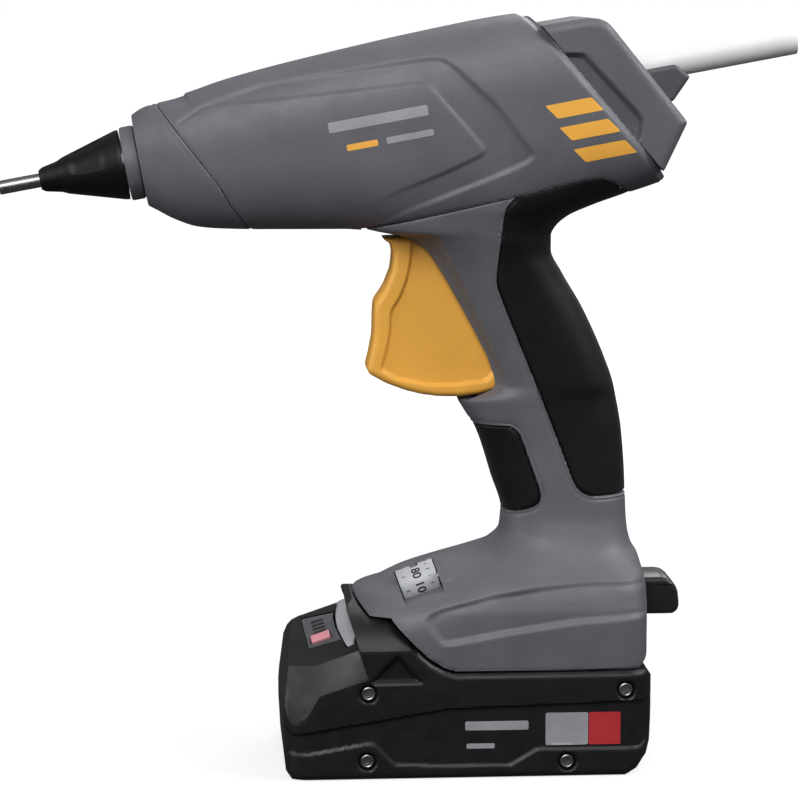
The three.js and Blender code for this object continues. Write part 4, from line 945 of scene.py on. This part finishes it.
def release_bar():
    bar = arch("release_button_skin", BAR_ARCH, BAR_FRONT, BAR_REAR, 0.9)
    common(bar, across(softened(bar_side(0, BAR_REAR), 0.8)))
    above_roof = [on_roof(block((-FAR, -FAR, 0.5), (FAR, FAR, FAR)), side) for side in (-1, 1)]
    return cut(bar, arch("tool", BAR_CORE, BAR_FRONT - 1, BAR_REAR + 1), *above_roof)


def gauge_window():
    plate = roof_plate("gauge_window_skin", GAUGE, -1.6, -0.2, 0.25)
    bar = across(bar_side(BAR_ROOM + GAP, BAR_REAR))
    return cut(plate, roof_plate("tool", grown(CHARGE, GAP), -10, 10), bar)


def gauge_bars():
    outlines = [bar_outline(3.6, 8.2, y - 0.65, y + 0.65) for y in GAUGE_BARS]
    return join(*[roof_plate("gauge_bars_skin", outline, -0.6, -0.05, 0.1) for outline in outlines])


def charge_button():
    return roof_plate("charge_button_skin", CHARGE, -4.2, 0.7, 0.5)


# ---------------- screws


def screw(name, place, side, head, shank, length):
    """A screw with a hexagon socket. It lies along y, and its head faces out on one side."""
    rim = [(1.25, head), (1.55, head - 0.12), (1.7, head - 0.4), (1.55, head - 0.75), (1.2, head - 0.95)]
    profile = [(-length, shank - 0.3), (0.3 - length, shank), (0, shank), (0, head), *rim]
    socket = spun("tool", [(0.4, 1.3), (3, 1.3)], 6)
    thing = cut(spun(name, profile, 64), socket)
    turn = Matrix.Rotation(side * math.pi / 2, 4, "Z")
    thing.data.transform(Matrix.Translation(Vector(place) * MM) @ turn)
    return thing


# ---------------- printed marks


def along_barrel(points):
    """Points on the barrel's side, given along and above its axis, as [x, z]."""
    return [(s * math.cos(TILT) - n * math.sin(TILT), BARREL_HEIGHT + s * math.sin(TILT) + n * math.cos(TILT))
            for s, n in points]


def bar_outline(x0, x1, z0, z1, slant=0.0):
    return [(x0, z0), (x1, z0), (x1 - slant, z1), (x0 - slant, z1)]


def printed(name, form_rows, outlines):
    """Thin marks on the left side of a form given by its rows: side outlines, printed on the surface."""
    normal = normals(form_rows)
    under = grid_solid("tool", form_rows)
    marks = []
    for outline in outlines:
        mark = grid_solid(name, form_rows + normal * MARK)
        common(mark, prism(softened(outline, 0.7), -FAR, -5))
        marks.append(mark)
    return cut(join(*marks), under)


def barrel_marks():
    near = with_relief(barrel_rows(0, FINE, -34, 14), barrel_relief)
    rear = with_relief(barrel_rows(0, FINE, 44, 88), barrel_relief)
    light = [along_barrel(bar_outline(-27, 8, -1, 2.6)), along_barrel(bar_outline(-8, 8.6, -8.2, -6))]
    short = [along_barrel(bar_outline(-22, -11, -8.2, -6))]
    stripes = [along_barrel(bar_outline(52 + 3.6 * i, 68.5 + 4.6 * i, -10.6 - 8.4 * i, -5.4 - 8.4 * i, 3.6))
               for i in range(3)]
    return [(printed("barrel_bar_skin", near, light), "release_grey"),
            (printed("barrel_short_bar_skin", near, short), "trigger_orange"),
            (printed("rear_stripes_skin", rear, stripes), "trigger_orange")]


def pack_marks():
    """A plain bar and a two-tone label on the battery's left side."""
    near = with_relief(plan_rows(0, FINE, 8, 27), inward=pack_hollows)
    bars = [bar_outline(20.5, 43, 17.4, 20.6), bar_outline(21, 31, 10.8, 12.6)]
    grey = [bar_outline(49.1, 64.2, 11.6, 23.3)]
    red = [bar_outline(64.5, 75.8, 11.6, 23.3)]
    return [(printed("battery_bars_skin", near, bars), "release_grey", None),
            (printed("battery_label_grey_skin", near, grey), "release_grey", None),
            (printed("battery_label_red_skin", near, red), "charge_pink", "label_red")]


# ---------------- materials


class Nodes:
    """A new material's node tree, with its shader and a short way to add nodes."""

    def __init__(self, name):
        self.material = bpy.data.materials.new(name)
        self.material.use_nodes = True
        self.tree = self.material.node_tree
        self.shader = self.tree.nodes["Principled BSDF"]
        self.place = self.add("ShaderNodeTexCoord").outputs["Object"]

    def add(self, kind, **settings):
        node = self.tree.nodes.new(kind)
        for key, value in settings.items():
            setattr(node, key, value)
        return node

    def link(self, source, target):
        self.tree.links.new(source, target)

    def set(self, **values):
        for key, value in values.items():
            self.shader.inputs[key.replace("_", " ")].default_value = value

    def surface(self, color, roughness, normal):
        """Links what the shader shows, and returns the material."""
        for name, output in (("Base Color", color), ("Roughness", roughness), ("Normal", normal)):
            self.link(output, self.shader.inputs[name])
        return self.material

    def noise(self, size, detail=3.0, stretch=(1, 1, 1)):
        """Noise whose features are about size millimetres, from 0 to 1."""
        mapping = self.add("ShaderNodeMapping")
        mapping.inputs["Scale"].default_value = stretch
        self.link(self.place, mapping.inputs["Vector"])
        noise = self.add("ShaderNodeTexNoise")
        noise.inputs["Scale"].default_value = 1 / (size * MM)
        noise.inputs["Detail"].default_value = detail
        self.link(mapping.outputs["Vector"], noise.inputs["Vector"])
        return noise.outputs["Fac"]

    def cells(self, size):
        """Smooth rounded cells about size millimetres across, as in a leather grain."""
        cells = self.add("ShaderNodeTexVoronoi", feature="SMOOTH_F1")
        cells.inputs["Scale"].default_value = 1 / (size * MM)
        cells.inputs["Smoothness"].default_value = 0.6
        self.link(self.place, cells.inputs["Vector"])
        return cells.outputs["Distance"]

    def mapped(self, value, low, high, to_low, to_high):
        node = self.add("ShaderNodeMapRange")
        for key, number in (("From Min", low), ("From Max", high), ("To Min", to_low), ("To Max", to_high)):
            node.inputs[key].default_value = number
        self.link(value, node.inputs["Value"])
        return node.outputs["Result"]

    def uneven(self, roughness, less, more, *noise):
        """A roughness that wanders between two values."""
        return self.mapped(self.noise(*noise), 0.3, 0.7, roughness - less, roughness + more)

    def patches(self, size, first, second):
        """Soft patches of two colours."""
        return self.mixed(self.mapped(self.noise(size), 0.35, 0.65, 0, 1), first, second)

    def edges(self):
        """The share of each point that lies on a convex edge."""
        return self.mapped(self.add("ShaderNodeNewGeometry").outputs["Pointiness"], 0.52, 0.62, 0, 1)

    def mixed(self, share, first, second):
        mix = self.add("ShaderNodeMix", data_type="RGBA")
        for slot, value in ((6, first), (7, second)):
            if isinstance(value, tuple):
                mix.inputs[slot].default_value = (*value, 1)
            else:
                self.link(value, mix.inputs[slot])
        self.link(share, mix.inputs[0])
        return mix.outputs[2]

    def bump(self, height, depth, under=None):
        """The normal of a surface with small heights, over another normal if there is one."""
        node = self.add("ShaderNodeBump")
        node.inputs["Distance"].default_value = depth * MM
        self.link(height, node.inputs["Height"])
        if under is not None:
            self.link(under, node.inputs["Normal"])
        return node.outputs["Normal"]


def scaled(color, factor):
    return tuple(min(1.0, channel * factor) for channel in color)


def moulded(name, color, roughness, grain=0.7, depth=0.05, spread=0.08, worn=1.35, gloss=0.5):
    """Moulded plastic with a fine leather grain, slight mottling and edges rubbed a little lighter."""
    nodes = Nodes(name)
    nodes.set(Specular_IOR_Level=gloss)
    mottle = nodes.patches(14, scaled(color, 1 - spread), scaled(color, 1 + spread))
    speckle = nodes.mixed(nodes.mapped(nodes.cells(grain), 0.1, 0.6, 0, 0.3), mottle, scaled(color, 0.75))
    rubbed = nodes.mixed(nodes.edges(), speckle, scaled(color, worn))
    fine = nodes.bump(nodes.noise(grain * 0.4, 2), depth * 0.4)
    leather = nodes.bump(nodes.cells(grain), depth, fine)
    return nodes.surface(rubbed, nodes.uneven(roughness, 0.06, 0.06, 5, 5), leather)


def metal(name, color, roughness, lines=(1, 1, 1)):
    """Machined metal: fine tool lines, uneven polish."""
    nodes = Nodes(name)
    nodes.set(Metallic=1.0)
    streak = nodes.noise(0.35, 4, lines)
    tone = nodes.mixed(streak, scaled(color, 0.8), scaled(color, 1.15))
    return nodes.surface(tone, nodes.uneven(roughness, 0.08, 0.1, 2.5, 4, lines), nodes.bump(streak, 0.015))


def rubber(name, color, roughness, sheen=0.0):
    """Soft-touch rubber: very fine pores, smudged gloss."""
    nodes = Nodes(name)
    nodes.set(Sheen_Weight=sheen, Sheen_Roughness=0.4, Specular_IOR_Level=0.25)
    tone = nodes.patches(9, scaled(color, 0.85), scaled(color, 1.2))
    pores = nodes.bump(nodes.noise(0.25, 2), 0.02)
    return nodes.surface(tone, nodes.uneven(roughness, 0.07, 0.07, 12, 5), pores)


def wax(name, color, roughness):
    """The glue stick: cloudy and soft."""
    nodes = Nodes(name)
    tone = nodes.mixed(nodes.noise(6), color, scaled(color, 0.93))
    waves = nodes.bump(nodes.noise(1.5, 3, (0.2, 1, 1)), 0.03)
    return nodes.surface(tone, nodes.uneven(roughness, 0.05, 0.1, 3), waves)


ACROSS = (6, 0.4, 0.4)  # stretches metal's tool lines round the x axis

MAKERS = {
    "nozzle_steel": (metal, (0.3, 0.295, 0.29), 0.32, ACROSS),
    "spring_steel": (metal, (0.55, 0.55, 0.57), 0.3),
    "nozzle_silicone": (rubber, (0.004, 0.004, 0.004), 0.45),
    "housing_grey": (moulded, (0.118, 0.12, 0.136), 0.5),
    "chamber_aluminium": (metal, (0.7, 0.7, 0.72), 0.35),
    "ceramic_white": (moulded, (0.8, 0.79, 0.76), 0.5, 0.3, 0.01),
    "brass": (metal, (0.62, 0.45, 0.18), 0.3),
    "mica": (moulded, (0.55, 0.5, 0.4), 0.6, 1.2, 0.02),
    "glue": (wax, (0.84, 0.84, 0.83), 0.35),
    "nylon": (moulded, (0.62, 0.6, 0.55), 0.45, 0.5, 0.01),
    "trough_grey": (moulded, (0.08, 0.082, 0.09), 0.5),
    "grip_rubber": (rubber, (0.003, 0.003, 0.0034), 0.55, 0.05),
    "black_steel": (metal, (0.3, 0.3, 0.31), 0.34),
    "trigger_orange": (moulded, (0.95, 0.47, 0.07), 0.42, 0.5, 0.012, 0.04, 1.05),
    "dial_white": (moulded, (0.42, 0.43, 0.45), 0.4, 0.3, 0.006),
    "button_black": (moulded, (0.012, 0.012, 0.013), 0.38, 0.4, 0.01),
    "circuit_green": (moulded, (0.02, 0.12, 0.06), 0.4, 0.5, 0.01),
    "wire_black": (rubber, (0.02, 0.02, 0.02), 0.45),
    "battery_black": (moulded, (0.0055, 0.0055, 0.0066), 0.45, 0.6, 0.03, 0.1, 1.6, 0.45),
    "release_grey": (moulded, (0.34, 0.34, 0.36), 0.45, 0.4, 0.01),
    "charge_pink": (moulded, (0.62, 0.25, 0.28), 0.3, 0.4, 0.005),
    "cell_wrap": (moulded, (0.05, 0.2, 0.42), 0.3, 0.8, 0.004),
    "label_red": (moulded, (0.5, 0.03, 0.04), 0.4, 0.3, 0.003),
}

FINISHES = {slot: maker(slot, *settings) for slot, (maker, *settings) in MAKERS.items()}

SLOTS = {part["node"]: part["material_slot"] for part in frame["record"]["subparts"]}
BODIES = {node: body for body, nodes in frame["record"]["behaviour"]["bodies"].items() for node in nodes}


def paint(thing, slot):
    thing.data.materials.clear()
    thing.data.materials.append(FINISHES[slot])


def dress(thing, body, slot, finish=None):
    """Finishes a new piece, which rides on a body."""
    smooth(thing)
    paint(thing, finish or slot)
    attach(thing, body)


def show(thing, node):
    """Lets a new piece stand for a CAD node, on the node's body and in its slot."""
    dress(thing, BODIES[node], SLOTS[node])
    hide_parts(node)


def show_pair(things, name):
    for thing, side in zip(things, ("left", "right")):
        show(thing, f"{name}_{side}")


# ---------------- camera, light and floor

FLOOR_HALF = 60000
BACKDROP_RADIUS = 20000


def add_camera():
    camera = bpy.data.cameras.new("camera")
    camera.sensor_width = 36
    camera.lens = 137.5
    seat = added("camera", camera)
    target, distance = Vector((0, 0, 0.1304)), 1.1
    azimuth, elevation = math.radians(-4), math.radians(8)
    back = Vector((math.sin(azimuth) * math.cos(elevation), -math.cos(azimuth) * math.cos(elevation),
                   math.sin(elevation)))
    seat.location = target + back * distance
    seat.rotation_euler = (-back).to_track_quat("-Z", "Y").to_euler()
    bpy.context.scene.camera = seat


def add_light(name, place, size, power):
    """A soft square lamp that faces the gun's middle."""
    lamp = bpy.data.lights.new(name, "AREA")
    lamp.size = size
    lamp.energy = power
    seat = added(name, lamp)
    seat.location = place
    seat.rotation_euler = (Vector((0, 0, 0.13)) - Vector(place)).to_track_quat("-Z", "Y").to_euler()


def add_world():
    """A dim room that is brighter overhead."""
    world = bpy.data.worlds.new("room")
    bpy.context.scene.world = world
    world.use_nodes = True
    tree = world.node_tree
    background = tree.nodes["Background"]
    place = tree.nodes.new("ShaderNodeTexCoord")
    split = tree.nodes.new("ShaderNodeSeparateXYZ")
    ramp = tree.nodes.new("ShaderNodeValToRGB")
    tree.links.new(place.outputs["Generated"], split.inputs[0])
    tree.links.new(split.outputs["Z"], ramp.inputs["Fac"])
    tree.links.new(ramp.outputs["Color"], background.inputs["Color"])
    ramp.color_ramp.elements[0].color = (0.08, 0.08, 0.085, 1)
    ramp.color_ramp.elements[1].color = (0.34, 0.34, 0.355, 1)
    background.inputs["Strength"].default_value = 1.0


def glowing(thing, **values):
    """Gives a piece of the stage a white glow that lights nothing, and returns its nodes."""
    nodes = Nodes(thing.name)
    nodes.set(Specular_IOR_Level=0.0, Emission_Color=(1, 1, 1, 1), **values)
    thing.data.materials.append(nodes.material)
    thing.visible_diffuse = False
    thing.visible_glossy = False
    return nodes


def add_floor():
    far = FLOOR_HALF
    corners = [(-far, -far, 0), (far, -far, 0), (far, far, 0), (-far, far, 0)]
    floor = mesh_object("floor", corners, [(0, 1, 2, 3)])
    nodes = glowing(floor, Base_Color=(0.28, 0.28, 0.28, 1), Roughness=0.9)
    away = nodes.add("ShaderNodeVectorMath", operation="LENGTH")
    nodes.link(nodes.place, away.inputs[0])
    strength = nodes.mapped(away.outputs["Value"], 0.25, 1.2, 0.74, 0.98)
    nodes.link(strength, nodes.shader.inputs["Emission Strength"])


def add_backdrop():
    """A far white wall all round, which only the camera sees."""
    far = BACKDROP_RADIUS
    low, high = ([(far * math.cos(a), far * math.sin(a), z) for a in turns(64)] for z in (0, far))
    sides = [(i, (i + 1) % 64, (i + 1) % 64 + 64, i + 64) for i in range(64)]
    wall = mesh_object("backdrop", [*low, *high], sides)
    glowing(wall, Base_Color=(0, 0, 0, 1), Emission_Strength=1.0)
    wall.visible_shadow = False


add_camera()
add_world()
add_floor()
add_backdrop()
add_light("key", (-0.3, -1.15, 1.0), 0.9, 15)
add_light("right", (0.95, -0.25, 0.9), 0.6, 10)
add_light("left", (-1.1, -0.3, 0.45), 0.5, 4)
add_light("back", (0.5, 1.1, 1.0), 0.8, 8)
bpy.context.scene.view_settings.view_transform = "Standard"

# ---------------- assembly

SHARP = 30  # angle in degrees from which a CAD edge is drawn sharp

for name, node in frame["nodes"].items():
    smooth(node, SHARP)
    paint(node, SLOTS[name])

show_pair(barrel_covers(), "barrel_cover")
show(front_cap(), "front_cap")
show_pair(rear_housings(), "rear_housing")
show(feed_funnel(), "feed_funnel")
show(nozzle_tip(), "nozzle_tip")
show(nozzle_sleeve(), "nozzle_sleeve")
show(nozzle_ring(), "nozzle_ring")
show(glue_stick(), "glue_stick")

show_pair(handle_halves(), "handle")
show_pair(grips("rear_grip", REAR_PAD), "rear_grip")
show_pair(grips("front_grip", FRONT_PAD), "front_grip")
show(trigger(), "trigger")
show(dial_drum(), "temperature_dial")
dress(dial_marks(), "dial", "wire_black")
show(power_button(), "power_button")

for thing, part in zip(battery_shells(), ("upper", "lower")):
    show(thing, f"battery_{part}_shell")
show(release_bar(), "release_button")
show(gauge_window(), "gauge_window")
dress(gauge_bars(), "battery", "wire_black")
show(charge_button(), "charge_button")

for index, (x, z, face) in enumerate([*COVER_SCREWS, REAR_SCREW, HANDLE_SCREW], 1):
    place = (x, face - SCREW_SEAT + GAP, z)
    show(screw(f"housing_screw_{index}_skin", place, 1, *HOUSING_SCREW), f"housing_screw_{index}")
for index, (x, z) in enumerate(PACK_SCREWS, 1):
    place = (x, PACK_SCREW_SEAT - GAP - PACK_HALF, z)
    show(screw(f"battery_screw_{index}_skin", place, -1, *PACK_SCREW), f"battery_screw_{index}")

for thing, slot in barrel_marks():
    dress(thing, "gun", slot)
for thing, slot, finish in pack_marks():
    dress(thing, "battery", slot, finish)
